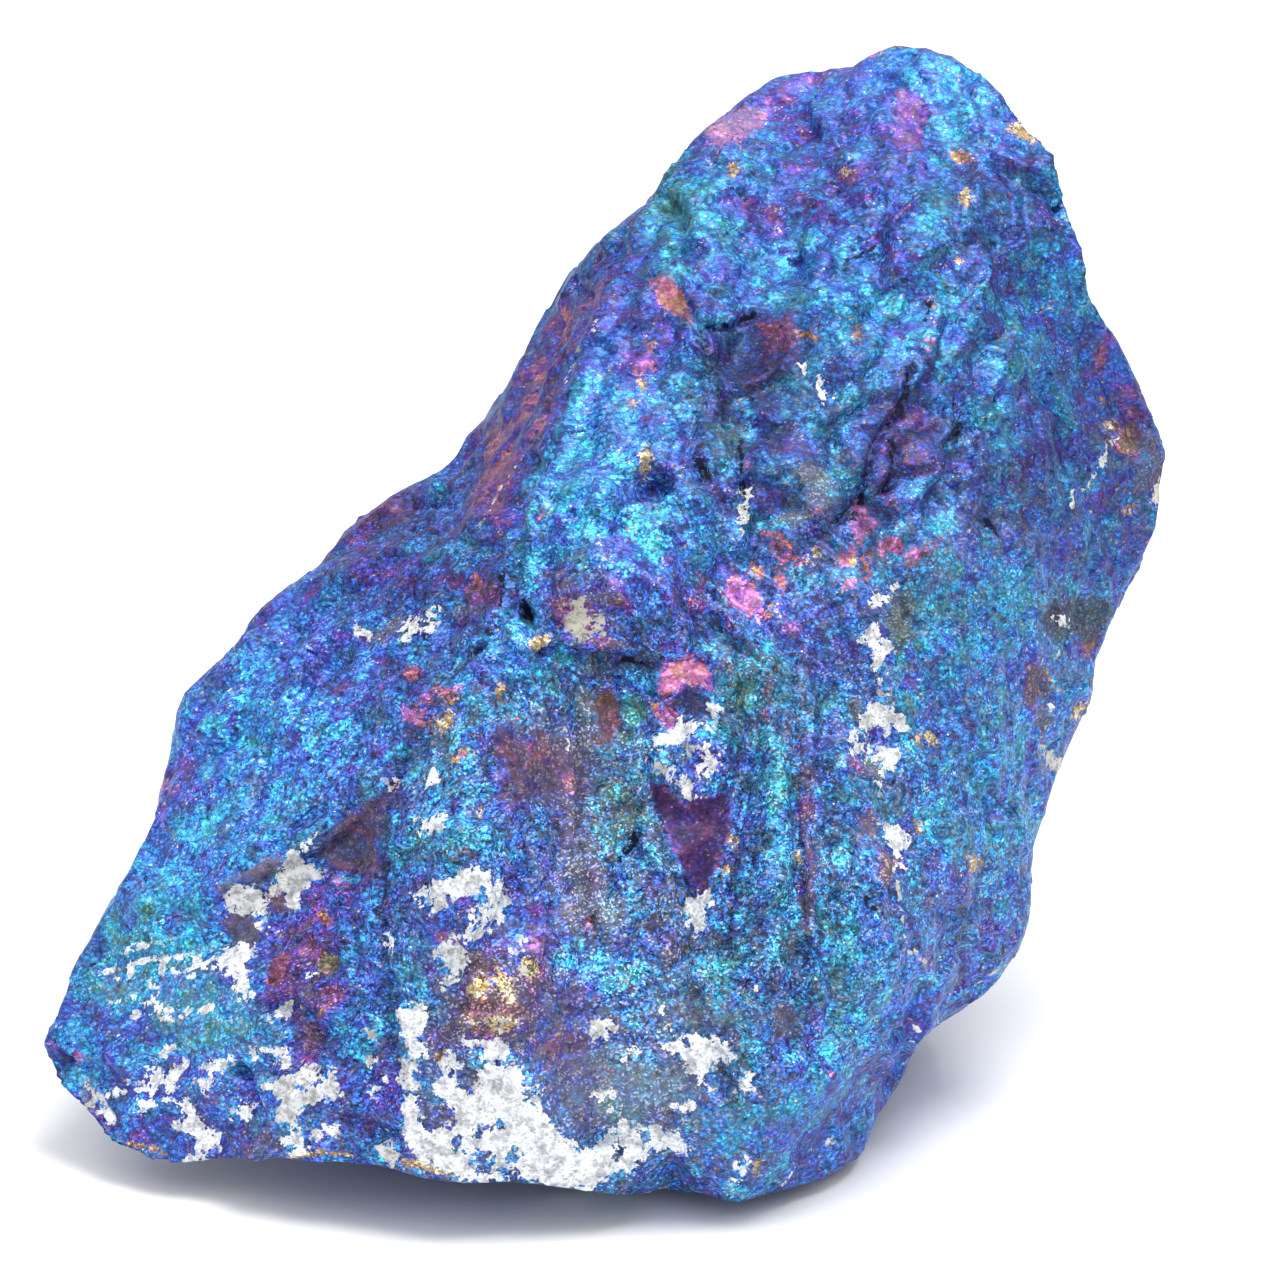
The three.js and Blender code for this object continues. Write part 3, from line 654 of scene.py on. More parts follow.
# broad patches of film, with soft edges; their brightness is partly the film's tone and partly painted light
# and shade
PX_FIELDS = [
    patch(0.72, [(862, 60), (880, 46), (915, 42), (955, 58), (985, 90), (960, 105), (900, 98), (800, 92)],
          brightness_and_painted_light=1.35, grit=0.6),
    patch(0.40, [(700, 145), (730, 108), (770, 82), (820, 66), (862, 56), (840, 88), (790, 104), (740, 135)],
          brightness_and_painted_light=1.5, dull=0.25, grit=0.4),
    patch(0.52, [(780, 120), (900, 100), (930, 150), (900, 200), (830, 235), (790, 200)], brightness_and_painted_light=0.95),
    patch(0.85, [(648, 200), (668, 178), (700, 168), (738, 172), (735, 210), (720, 245), (690, 264),
                 (660, 262), (644, 240)], brightness_and_painted_light=0.95, dull=0.05),
    patch(0.44, [(740, 190), (775, 200), (790, 235), (775, 265), (750, 262), (738, 230)], brightness_and_painted_light=0.8),
    patch(0.46, [(870, 190), (905, 190), (910, 270), (880, 290), (862, 240)], brightness_and_painted_light=0.85),
    patch(0.60, [(960, 170), (1040, 150), (1060, 230), (1040, 290), (970, 280), (950, 230)],
          brightness_and_painted_light=0.72, dull=0.15),
    patch(0.74, [(1045, 250), (1085, 240), (1092, 320), (1060, 350), (1035, 310)], brightness_and_painted_light=1.25),
    patch(0.71, [(700, 250), (840, 240), (960, 280), (940, 350), (850, 370), (790, 310), (710, 300)],
          brightness_and_painted_light=1.15),
    # painted shade in the hollow, over the film's own colour
    patch(0.57, [(692, 330), (740, 318), (790, 335), (800, 385), (770, 430), (720, 410), (696, 380)],
          brightness_and_painted_light=0.5),
    patch(0.86, [(700, 410), (738, 405), (742, 455), (712, 470), (698, 440)], brightness_and_painted_light=0.6, dull=0.2),
    patch(0.63, [(752, 440), (800, 430), (805, 500), (780, 530), (755, 520)], brightness_and_painted_light=0.85),
    patch(0.78, [(800, 380), (880, 380), (870, 430), (810, 440)], brightness_and_painted_light=1.0),
    patch(0.45, [(880, 420), (925, 400), (930, 480), (900, 500), (870, 480)], brightness_and_painted_light=0.7),
    patch(0.70, [(930, 300), (1060, 320), (1070, 380), (950, 400), (920, 360)], brightness_and_painted_light=1.05),
    patch(0.93, [(972, 425), (990, 416), (1014, 410), (1020, 426), (1000, 446), (980, 454)], brightness_and_painted_light=1.2),
    patch(0.52, [(1092, 326), (1112, 330), (1132, 360), (1146, 402), (1130, 412), (1108, 395), (1092, 365)],
          brightness_and_painted_light=1.3, grit=0.5),
    patch(0.42, [(1078, 350), (1098, 340), (1105, 400), (1090, 420), (1078, 390)], brightness_and_painted_light=0.95, dull=0.2),
    patch(0.75, [(912, 498), (940, 493), (965, 498), (958, 532), (930, 542), (912, 530)], brightness_and_painted_light=1.5),
    patch(0.64, [(960, 420), (1080, 420), (1090, 520), (1000, 560), (960, 500)], brightness_and_painted_light=0.8, dull=0.1),
    patch(0.55, [(1100, 418), (1130, 408), (1162, 430), (1168, 470), (1158, 510), (1140, 545), (1116, 525),
                 (1126, 490), (1108, 462), (1096, 440)], brightness_and_painted_light=0.8, dull=0.65),
    patch(0.60, [(1060, 530), (1120, 530), (1130, 580), (1080, 590), (1050, 570)], brightness_and_painted_light=0.9, dull=0.1),
    patch(0.74, [(900, 560), (1040, 550), (1040, 640), (1000, 720), (920, 700), (900, 620)], brightness_and_painted_light=1.05),
    patch(0.76, [(920, 700), (1040, 700), (1040, 800), (1020, 900), (940, 880), (915, 800)], brightness_and_painted_light=1.0),
    patch(0.76, [(1046, 705), (1076, 700), (1066, 740), (1046, 745)], brightness_and_painted_light=1.3),
    patch(0.62, [(940, 860), (1028, 850), (1022, 930), (985, 975), (940, 950)], brightness_and_painted_light=0.95, dull=0.1),
    patch(0.70, [(800, 690), (850, 690), (855, 800), (810, 800)], brightness_and_painted_light=1.05),
    patch(0.80, [(800, 900), (870, 890), (900, 960), (870, 1020), (810, 1000)], brightness_and_painted_light=1.15),
    patch(0.86, [(750, 755), (776, 745), (794, 768), (802, 820), (804, 880), (798, 925), (778, 928),
                 (762, 880), (754, 830)], brightness_and_painted_light=1.1),
    patch(0.80, [(720, 640), (790, 650), (795, 740), (740, 745), (718, 700)], brightness_and_painted_light=0.8, dull=0.2),
    patch(0.58, [(735, 800), (760, 840), (762, 920), (735, 930), (722, 870)], brightness_and_painted_light=0.75),
    patch(0.84, [(580, 735), (640, 725), (655, 790), (650, 900), (600, 910), (576, 850)],
          brightness_and_painted_light=0.85, dull=0.35),
    patch(0.70, [(590, 845), (660, 840), (680, 900), (650, 960), (600, 940)], brightness_and_painted_light=1.1, dull=0.1),
    patch(0.50, [(548, 700), (572, 705), (582, 800), (588, 935), (558, 935), (546, 860)], brightness_and_painted_light=1.0, dull=0.9),
    patch(0.55, [(640, 880), (690, 890), (700, 960), (650, 960)], brightness_and_painted_light=0.85, dull=0.3),
    patch(0.29, [(500, 722), (525, 728), (548, 742), (572, 762), (580, 792), (560, 806), (520, 806),
                 (498, 780), (492, 750)], brightness_and_painted_light=0.56, dull=0.4, grit=0.35),
    patch(0.62, [(510, 805), (565, 810), (560, 880), (520, 880)], brightness_and_painted_light=0.95, dull=0.1),
    patch(0.78, [(400, 790), (430, 790), (500, 810), (520, 850), (450, 860), (400, 850)], brightness_and_painted_light=1.1),
    patch(0.74, [(420, 700), (490, 700), (495, 790), (430, 800), (410, 750)], brightness_and_painted_light=1.1, dull=0.1),
    patch(0.72, [(545, 650), (590, 660), (580, 740), (545, 730)], brightness_and_painted_light=0.85, dull=0.15),
    patch(0.78, [(505, 612), (518, 602), (528, 620), (532, 640), (550, 650), (530, 668), (498, 664),
                 (488, 645), (496, 628)], brightness_and_painted_light=1.5),
    patch(0.78, [(545, 512), (552, 480), (570, 452), (600, 436), (632, 428), (652, 450), (640, 482),
                 (615, 502), (600, 524), (568, 532)], brightness_and_painted_light=1.4),
    patch(0.76, [(516, 584), (519, 560), (524, 543), (534, 534), (542, 548), (536, 570), (528, 586)],
          brightness_and_painted_light=1.5),
    patch(0.74, [(600, 500), (700, 490), (740, 520), (720, 570), (640, 580), (600, 550)], brightness_and_painted_light=0.95),
    patch(0.66, [(560, 440), (580, 390), (600, 370), (650, 380), (640, 420), (590, 440)], brightness_and_painted_light=1.25),
    patch(0.84, [(540, 540), (590, 535), (600, 575), (560, 585)], brightness_and_painted_light=0.95, dull=0.35),
    patch(0.34, [(545, 570), (620, 575), (640, 610), (600, 650), (550, 630)], brightness_and_painted_light=0.85, dull=0.5),
    patch(0.50, [(600, 300), (650, 300), (690, 330), (660, 390), (610, 370)], brightness_and_painted_light=1.0),
    patch(0.54, [(640, 570), (760, 590), (720, 640), (640, 640)], brightness_and_painted_light=0.95, dull=0.15),
    patch(0.50, [(760, 590), (860, 600), (850, 640), (760, 650)], brightness_and_painted_light=1.0),
    patch(0.56, [(580, 250), (640, 240), (650, 290), (600, 330), (560, 330)], brightness_and_painted_light=1.0),
    patch(0.31, [(466, 470), (500, 410), (525, 360), (560, 310), (592, 300), (566, 360), (548, 420),
                 (524, 470), (500, 515), (470, 520)], brightness_and_painted_light=0.95, dull=0.38, grit=0.4),
    # painted shade in the crevice below the bump
    patch(0.42, [(368, 512), (420, 512), (436, 540), (400, 556), (372, 548)], brightness_and_painted_light=0.5, dull=0.5),
    patch(0.66, [(420, 480), (458, 478), (455, 508), (425, 508)], brightness_and_painted_light=1.2),
    patch(0.52, [(330, 530), (500, 520), (510, 600), (440, 610), (330, 600)], brightness_and_painted_light=0.85, dull=0.15),
    patch(0.46, [(345, 480), (410, 470), (425, 505), (400, 540), (345, 545)], brightness_and_painted_light=0.7, dull=0.1),
    patch(0.80, [(430, 545), (500, 535), (505, 560), (440, 570)], brightness_and_painted_light=1.0, dull=0.2),
    patch(0.50, [(205, 660), (240, 600), (300, 575), (320, 600), (260, 640)], brightness_and_painted_light=1.15, grit=0.6),
    patch(0.54, [(300, 640), (400, 640), (420, 700), (340, 720), (300, 700)], brightness_and_painted_light=1.0),
    patch(0.71, [(180, 690), (250, 650), (320, 690), (360, 770), (300, 820), (200, 800)], brightness_and_painted_light=1.25),
    patch(0.38, [(160, 770), (186, 750), (200, 800), (180, 850), (150, 840)], brightness_and_painted_light=1.05, dull=0.1),
    patch(0.76, [(130, 850), (180, 820), (320, 795), (330, 825), (260, 862), (200, 895), (125, 900)],
          brightness_and_painted_light=1.4),
    patch(0.84, [(110, 900), (200, 895), (230, 930), (180, 965), (105, 965)], brightness_and_painted_light=1.0, dull=0.12),
    patch(0.88, [(95, 968), (200, 968), (245, 985), (262, 1020), (255, 1048), (200, 1050), (150, 1035),
                 (90, 1010)], brightness_and_painted_light=1.15, dull=0.22, grit=0.7),
    patch(0.64, [(62, 1010), (140, 1005), (170, 1060), (100, 1085), (66, 1070)], brightness_and_painted_light=1.0),
    patch(0.55, [(70, 1090), (200, 1105), (250, 1130), (240, 1165), (160, 1160), (90, 1140)], brightness_and_painted_light=0.95),
    patch(0.66, [(258, 915), (300, 900), (300, 950), (262, 960)], brightness_and_painted_light=1.2),
    patch(0.46, [(255, 955), (290, 955), (290, 1000), (262, 1000)], brightness_and_painted_light=1.0),
    patch(0.32, [(284, 934), (300, 928), (322, 930), (334, 946), (336, 976), (316, 984), (296, 992),
                 (276, 994), (268, 984), (276, 960)], brightness_and_painted_light=0.52, dull=0.35),
    patch(0.36, [(300, 892), (318, 896), (326, 912), (318, 924), (302, 922)], brightness_and_painted_light=0.6, dull=0.2),
    patch(0.64, [(345, 880), (390, 860), (392, 1000), (350, 1010)], brightness_and_painted_light=1.15),
    patch(0.48, [(300, 890), (345, 890), (345, 950), (305, 950)], brightness_and_painted_light=0.85, dull=0.15),
    patch(0.10, [(305, 995), (330, 995), (332, 1045), (305, 1048)], brightness_and_painted_light=0.75, dull=0.65),
    patch(0.70, [(330, 1000), (392, 1000), (380, 1060), (335, 1060)], brightness_and_painted_light=1.0),
    patch(0.32, [(448, 986), (478, 960), (520, 948), (545, 960), (540, 1010), (520, 1040), (460, 1046),
                 (432, 1062), (438, 1020)], brightness_and_painted_light=0.5, dull=0.4),
    patch(0.50, [(330, 1090), (400, 1090), (400, 1150), (340, 1140)], brightness_and_painted_light=0.85),
    patch(0.60, [(240, 1130), (290, 1130), (280, 1165), (240, 1165)], brightness_and_painted_light=0.75, dull=0.6),
    patch(0.42, [(425, 905), (465, 905), (465, 942), (430, 942)], brightness_and_painted_light=0.9, grit=0.5),
    patch(0.74, [(400, 960), (440, 950), (450, 975), (420, 985), (400, 1000)], brightness_and_painted_light=1.0, grit=0.6),
    patch(0.50, [(470, 935), (560, 880), (560, 960), (500, 970)], brightness_and_painted_light=1.0, grit=0.6),
    patch(0.76, [(556, 958), (610, 955), (650, 970), (640, 990), (560, 990)], brightness_and_painted_light=1.7),
    patch(0.76, [(700, 962), (748, 962), (750, 1000), (706, 1004)], brightness_and_painted_light=1.6),
    patch(0.44, [(520, 1000), (600, 990), (600, 1060), (560, 1090), (520, 1060)], brightness_and_painted_light=0.8, dull=0.15,
          grit=0.5),
    patch(0.62, [(545, 1060), (620, 1040), (620, 1090), (600, 1130), (550, 1120)], brightness_and_painted_light=0.85, dull=0.4,
          grit=0.4),
    patch(0.84, [(600, 1070), (690, 1060), (700, 1110), (640, 1125), (600, 1110)], brightness_and_painted_light=1.0, dull=0.6,
          grit=0.4),
    patch(0.85, [(662, 1005), (690, 996), (745, 1008), (748, 1030), (700, 1030), (664, 1030)], brightness_and_painted_light=0.85,
          dull=0.45, grit=0.4),
    patch(0.72, [(690, 1095), (780, 1095), (830, 1070), (860, 1080), (790, 1150), (740, 1190), (690, 1180)],
          brightness_and_painted_light=1.25, grit=0.45),
    patch(0.70, [(640, 1150), (690, 1150), (690, 1195), (630, 1190)], brightness_and_painted_light=0.95),
    patch(0.86, [(818, 1030), (848, 1022), (856, 1040), (836, 1062), (818, 1054)], brightness_and_painted_light=2.5),
    patch(0.80, [(758, 1055), (810, 1050), (812, 1078), (762, 1080)], brightness_and_painted_light=1.6),
    patch(0.70, [(850, 980), (920, 940), (920, 1000), (880, 1060), (850, 1050)], brightness_and_painted_light=1.25),
    patch(0.58, [(890, 1010), (960, 985), (960, 1010), (905, 1070), (885, 1090)], brightness_and_painted_light=1.2, grit=0.4),
    patch(0.62, [(790, 1130), (880, 1085), (870, 1140), (800, 1190), (770, 1190)], brightness_and_painted_light=1.05, grit=0.5),
]
# small patches of film, with sharp edges
PX_SPOTS = [
    patch(0.385, [(648, 778), (684, 802), (704, 800), (734, 788), (732, 830), (716, 862), (710, 886),
                  (690, 890), (672, 850), (656, 815)], brightness_and_painted_light=0.33, dull=-0.3, grit=0.35),
    patch(0.20, [(645, 283), (656, 282), (664, 275), (674, 277), (681, 288), (684, 300), (690, 312),
                 (695, 327), (686, 322), (676, 316), (664, 306), (654, 292)], brightness_and_painted_light=0.72, grit=0.4),
    patch(0.34, [(622, 352), (636, 350), (650, 352), (656, 364), (648, 374), (634, 372)], brightness_and_painted_light=1.1, grit=0.5),
    patch(0.14, [(642, 340), (652, 335), (657, 346), (648, 352)], brightness_and_painted_light=0.75),
    patch(0.31, [(760, 322), (795, 320), (795, 350), (765, 350)], brightness_and_painted_light=0.6),
    patch(0.80, [(711, 316), (722, 310), (733, 314), (729, 322), (716, 326)], brightness_and_painted_light=1.7),
    patch(0.80, [(738, 388), (744, 391), (753, 410), (755, 430), (748, 453), (743, 450), (748, 425)],
          brightness_and_painted_light=1.6),
    patch(0.26, [(852, 500), (862, 497), (868, 512), (877, 520), (872, 532), (862, 540), (858, 556),
                 (850, 567), (837, 566), (840, 552), (850, 544), (856, 532), (849, 520)], brightness_and_painted_light=1.0, grit=0.4),
    patch(0.22, [(883, 497), (894, 499), (898, 509), (888, 507)], brightness_and_painted_light=1.0),
    patch(0.24, [(875, 549), (886, 537), (896, 535), (905, 547), (909, 557), (898, 553), (888, 549),
                 (880, 559)], brightness_and_painted_light=0.85, grit=0.5),
    patch(0.18, [(861, 560), (868, 551), (873, 570), (868, 581), (862, 575)], brightness_and_painted_light=1.15, grit=0.5),
    patch(0.19, [(837, 584), (848, 579), (859, 584), (852, 591), (842, 591)], brightness_and_painted_light=1.2, grit=0.5),
    patch(0.25, [(903, 553), (918, 547), (945, 537), (941, 547), (922, 557), (908, 569)], brightness_and_painted_light=0.95),
    patch(0.17, [(759, 532), (770, 529), (775, 535), (764, 537)], brightness_and_painted_light=1.1),
    patch(0.20, [(779, 531), (790, 539), (797, 552), (807, 560), (800, 566), (788, 553), (779, 542)],
          brightness_and_painted_light=1.0),
    patch(0.30, [(770, 538), (782, 545), (790, 570), (778, 565)], brightness_and_painted_light=0.7),
    patch(0.13, [(746, 566), (756, 561), (765, 576), (758, 583), (750, 577)], brightness_and_painted_light=1.4, grit=0.5),
    patch(0.18, [(773, 567), (782, 571), (787, 585), (780, 590), (773, 578)], brightness_and_painted_light=1.3, grit=0.5),
    patch(0.28, [(718, 590), (736, 576), (752, 583), (764, 600), (756, 618), (742, 612), (726, 604)],
          brightness_and_painted_light=1.8, grit=0.6),
    patch(0.25, [(753, 612), (766, 610), (770, 622), (758, 624)], brightness_and_painted_light=1.4),
    patch(0.28, [(696, 577), (706, 575), (708, 592), (698, 592)], brightness_and_painted_light=1.3),
    patch(0.26, [(686, 598), (698, 596), (700, 606), (688, 606)], brightness_and_painted_light=1.2),
    patch(0.24, [(744, 460), (754, 459), (754, 469), (746, 469)], brightness_and_painted_light=1.6),
    patch(0.25, [(810, 508), (820, 507), (821, 516), (812, 517)], brightness_and_painted_light=1.1),
    patch(0.26, [(782, 622), (798, 620), (800, 631), (786, 633)], brightness_and_painted_light=1.2),
    patch(0.26, [(722, 622), (730, 620), (731, 632), (724, 632)], brightness_and_painted_light=1.2),
    patch(0.245, [(662, 660), (676, 662), (690, 655), (700, 660), (712, 668), (712, 680), (717, 697),
                 (706, 692), (700, 684), (690, 688), (678, 686), (670, 697), (661, 694), (657, 684),
                 (662, 672)], brightness_and_painted_light=3.2, grit=0.4),
    patch(0.10, [(647, 706), (654, 701), (661, 708), (658, 717), (650, 715)], brightness_and_painted_light=1.6),
    patch(0.30, [(656, 712), (664, 703), (677, 708), (681, 718), (674, 729), (664, 727)], brightness_and_painted_light=0.95,
          grit=0.4),
    patch(0.60, [(668, 693), (690, 688), (704, 694), (704, 713), (690, 713), (676, 706)], brightness_and_painted_light=0.6,
          dull=0.35, grit=0.4),
    patch(0.93, [(619, 700), (628, 689), (640, 693), (647, 704), (642, 722), (628, 729), (619, 718)],
          brightness_and_painted_light=1.1),
    patch(0.20, [(595, 700), (610, 691), (621, 704), (621, 724), (612, 740), (600, 747), (590, 742),
                 (600, 726)], brightness_and_painted_light=0.42, dull=0.4, grit=0.5),
    patch(0.50, [(580, 700), (592, 700), (592, 712), (582, 712)], brightness_and_painted_light=1.2, dull=1.0),
    patch(0.50, [(584, 728), (596, 724), (596, 740), (586, 746)], brightness_and_painted_light=1.2, dull=0.9),
    patch(0.19, [(565, 775), (570, 776), (569, 790), (564, 789)], brightness_and_painted_light=1.3, grit=0.5),
    patch(0.31, [(401, 705), (412, 709), (424, 711), (431, 720), (424, 729), (414, 723), (403, 717)],
          brightness_and_painted_light=1.9, grit=0.6),
    patch(0.18, [(433, 690), (442, 683), (452, 690), (460, 678), (463, 690), (454, 697), (444, 705),
                 (439, 698)], brightness_and_painted_light=1.35),
    patch(0.30, [(416, 697), (432, 692), (436, 702), (424, 710)], brightness_and_painted_light=0.9),
    patch(0.24, [(404, 668), (418, 664), (422, 676), (408, 680)], brightness_and_painted_light=1.0),
    patch(0.20, [(468, 578), (478, 574), (482, 584), (472, 588)], brightness_and_painted_light=1.1),
    patch(0.32, [(462, 588), (500, 580), (500, 606), (470, 606)], brightness_and_painted_light=0.8),
    patch(0.22, [(329, 876), (340, 873), (351, 889), (344, 892), (336, 883)], brightness_and_painted_light=1.2),
    patch(0.23, [(266, 986), (270, 968), (279, 956), (288, 946), (293, 952), (287, 965), (283, 976),
                 (276, 988)], brightness_and_painted_light=0.42, grit=0.6),
    patch(0.05, [(317, 960), (326, 954), (337, 957), (336, 968), (326, 975), (318, 970)], brightness_and_painted_light=0.6, dull=0.4),
    patch(0.18, [(318, 912), (332, 912), (334, 924), (322, 926)], brightness_and_painted_light=0.8),
    patch(0.20, [(74, 1052), (84, 1056), (82, 1064), (74, 1062)], brightness_and_painted_light=1.0),
    patch(0.26, [(160, 783), (168, 776), (172, 790), (164, 798)], brightness_and_painted_light=1.2),
    patch(0.25, [(828, 1070), (836, 1072), (834, 1078), (828, 1077)], brightness_and_painted_light=1.1),
    patch(0.28, [(850, 758), (862, 756), (862, 772), (852, 774)], brightness_and_painted_light=1.1),
    patch(0.95, [(868, 754), (877, 754), (877, 763), (868, 763)], brightness_and_painted_light=1.2),
    patch(0.24, [(870, 42), (886, 40), (884, 54), (870, 58)], brightness_and_painted_light=1.3),
    patch(0.33, [(704, 132), (722, 116), (748, 106), (764, 112), (766, 128), (744, 138), (716, 148)],
          brightness_and_painted_light=1.7, dull=0.62, grit=0.3),
    patch(0.09, [(727, 122), (742, 116), (750, 124), (740, 132)], brightness_and_painted_light=1.6, dull=0.6, grit=0.4),
    patch(0.40, [(896, 92), (922, 94), (926, 120), (920, 150), (900, 152), (892, 130)], brightness_and_painted_light=1.3, dull=0.3,
          grit=0.4),
    patch(0.10, [(905, 134), (912, 132), (914, 142), (906, 144)], brightness_and_painted_light=1.5, dull=0.5, grit=0.5),
    patch(0.30, [(1092, 352), (1104, 350), (1106, 366), (1096, 370)], brightness_and_painted_light=0.9, dull=0.3),
    patch(0.18, [(925, 338), (934, 340), (932, 350), (926, 348)], brightness_and_painted_light=1.0),
    patch(0.10, [(800, 330), (815, 332), (814, 342), (802, 340)], brightness_and_painted_light=0.7),
    patch(0.22, [(585, 916), (592, 918), (590, 930), (584, 928)], brightness_and_painted_light=0.9),
    patch(0.21, [(495, 972), (502, 970), (510, 990), (502, 992)], brightness_and_painted_light=1.1, grit=0.6),
    patch(0.24, [(462, 1010), (490, 998), (500, 1008), (478, 1020)], brightness_and_painted_light=0.7, dull=0.3),
    patch(0.38, [(480, 1024), (494, 1026), (488, 1036), (478, 1036)], brightness_and_painted_light=0.9),
]
# bare gold: film number, brightness, closed outline
PX_GOLD = [
    (0.03, 1.35, [(1006, 128), (1020, 121), (1033, 130), (1037, 143), (1022, 141)]),
    (0.09, 1.2, [(950, 152), (962, 148), (976, 156), (972, 166), (956, 164)]),
    (0.03, 1.4, [(961, 192), (970, 190), (973, 200), (966, 209), (960, 202)]),
    (0.03, 1.3, [(952, 256), (960, 254), (964, 262), (956, 267)]),
    (0.04, 1.2, [(926, 300), (936, 298), (937, 308), (928, 309)]),
    (0.05, 1.0, [(726, 168), (732, 160), (741, 170), (734, 179)]),
    (0.06, 1.0, [(842, 168), (850, 167), (851, 176), (843, 176)]),
    (0.06, 1.3, [(852, 330), (858, 326), (865, 334), (860, 343), (853, 340)]),
    (0.05, 1.1, [(635, 376), (645, 374), (647, 386), (640, 390)]),
    (0.06, 1.1, [(627, 399), (636, 397), (637, 407), (629, 409)]),
    (0.02, 0.75, [(640, 452), (648, 444), (654, 456), (648, 472), (640, 474)]),
    (0.04, 1.1, [(640, 477), (650, 475), (652, 482), (641, 483)]),
    (0.02, 1.3, [(532, 508), (542, 502), (548, 512), (540, 520), (533, 518)]),
    (0.04, 1.5, [(527, 640), (536, 635), (548, 633), (554, 640), (541, 647), (532, 651)]),
    (0.04, 1.0, [(491, 686), (502, 681), (511, 688), (502, 695), (493, 699)]),
    (0.04, 1.3, [(431, 735), (438, 722), (446, 711), (452, 709), (453, 724), (444, 733), (436, 739)]),
    (0.04, 1.3, [(447, 755), (458, 749), (471, 749), (474, 757), (460, 761), (451, 763)]),
    (0.04, 1.2, [(470, 810), (482, 806), (486, 814), (474, 818)]),
    (0.06, 1.0, [(505, 716), (516, 713), (517, 721), (507, 723)]),
    (0.00, 1.6, [(848, 556), (854, 551), (859, 558), (855, 567), (849, 565)]),
    (0.02, 1.3, [(806, 560), (816, 548), (821, 552), (812, 563)]),
    (0.04, 0.9, [(768, 604), (776, 604), (778, 615), (770, 615)]),
    (0.03, 1.1, [(724, 662), (733, 661), (734, 670), (726, 671)]),
    (0.02, 1.2, [(730, 834), (737, 838), (737, 848), (731, 847)]),
    (0.03, 1.2, [(720, 866), (728, 864), (732, 874), (722, 876)]),
    (0.02, 1.2, [(792, 853), (801, 852), (801, 861), (793, 861)]),
    (0.03, 1.1, [(914, 818), (921, 818), (920, 832), (913, 832)]),
    (0.03, 1.1, [(912, 732), (920, 732), (920, 742), (913, 742)]),
    (0.05, 0.9, [(926, 735), (940, 734), (938, 744), (927, 744)]),
    (0.05, 1.0, [(966, 856), (982, 856), (980, 870), (968, 870)]),
    (0.05, 1.1, [(1102, 424), (1116, 418), (1118, 428), (1106, 432)]),
    (0.04, 1.1, [(1118, 512), (1134, 500), (1138, 506), (1124, 518)]),
    (0.03, 1.2, [(1152, 500), (1158, 480), (1168, 476), (1160, 506)]),
    (0.03, 1.1, [(1070, 716), (1080, 702), (1090, 700), (1082, 722)]),
    (0.04, 1.1, [(1098, 398), (1106, 396), (1107, 405), (1099, 405)]),
    (0.00, 1.1, [(516, 968), (526, 956), (536, 960), (538, 974), (530, 982), (520, 978)]),
    (0.00, 1.15, [(492, 970), (498, 964), (512, 985), (520, 1000), (510, 1004), (500, 990)]),
    (0.02, 1.2, [(468, 984), (480, 972), (488, 976), (490, 992), (478, 1000), (466, 994)]),
    (0.00, 1.4, [(464, 1016), (476, 1012), (478, 1024), (466, 1026)]),
    (0.00, 1.1, [(484, 1018), (500, 1014), (520, 1018), (520, 1026), (500, 1034), (488, 1030)]),
    (0.07, 0.9, [(436, 1052), (444, 1048), (446, 1058), (438, 1060)]),
    (0.02, 1.1, [(287, 1168), (290, 1156), (298, 1150), (300, 1160), (294, 1169)]),
    (0.05, 0.9, [(186, 1158), (196, 1156), (198, 1164), (188, 1166)]),
    (0.06, 1.0, [(751, 1172), (756, 1158), (763, 1160), (759, 1176)]),
    (0.04, 0.9, [(796, 1190), (810, 1184), (814, 1190), (802, 1196)]),
    (0.03, 1.2, [(888, 38), (900, 38), (900, 46), (889, 46)]),
]
# thin lines of film, most of them gold rims: film number, half width in mm, places
PX_RIMS = [
    (0.80, 0.5, [(576, 385), (565, 415), (555, 440), (545, 460), (537, 478), (534, 500), (527, 535),
                 (520, 575)]),
    (0.24, 0.3, [(766, 680), (766, 720)]),
    (0.02, 0.5, [(404, 1163), (425, 1166), (445, 1172), (462, 1182), (480, 1190)]),
    (0.03, 0.35, [(500, 1192), (560, 1193), (600, 1197), (640, 1199)]),
    (0.03, 0.35, [(300, 1153), (330, 1153), (350, 1156)]),
    (0.03, 0.35, [(128, 1144), (150, 1147), (168, 1154)]),
    (0.06, 0.3, [(1040, 660), (1050, 680), (1060, 690)]),
]
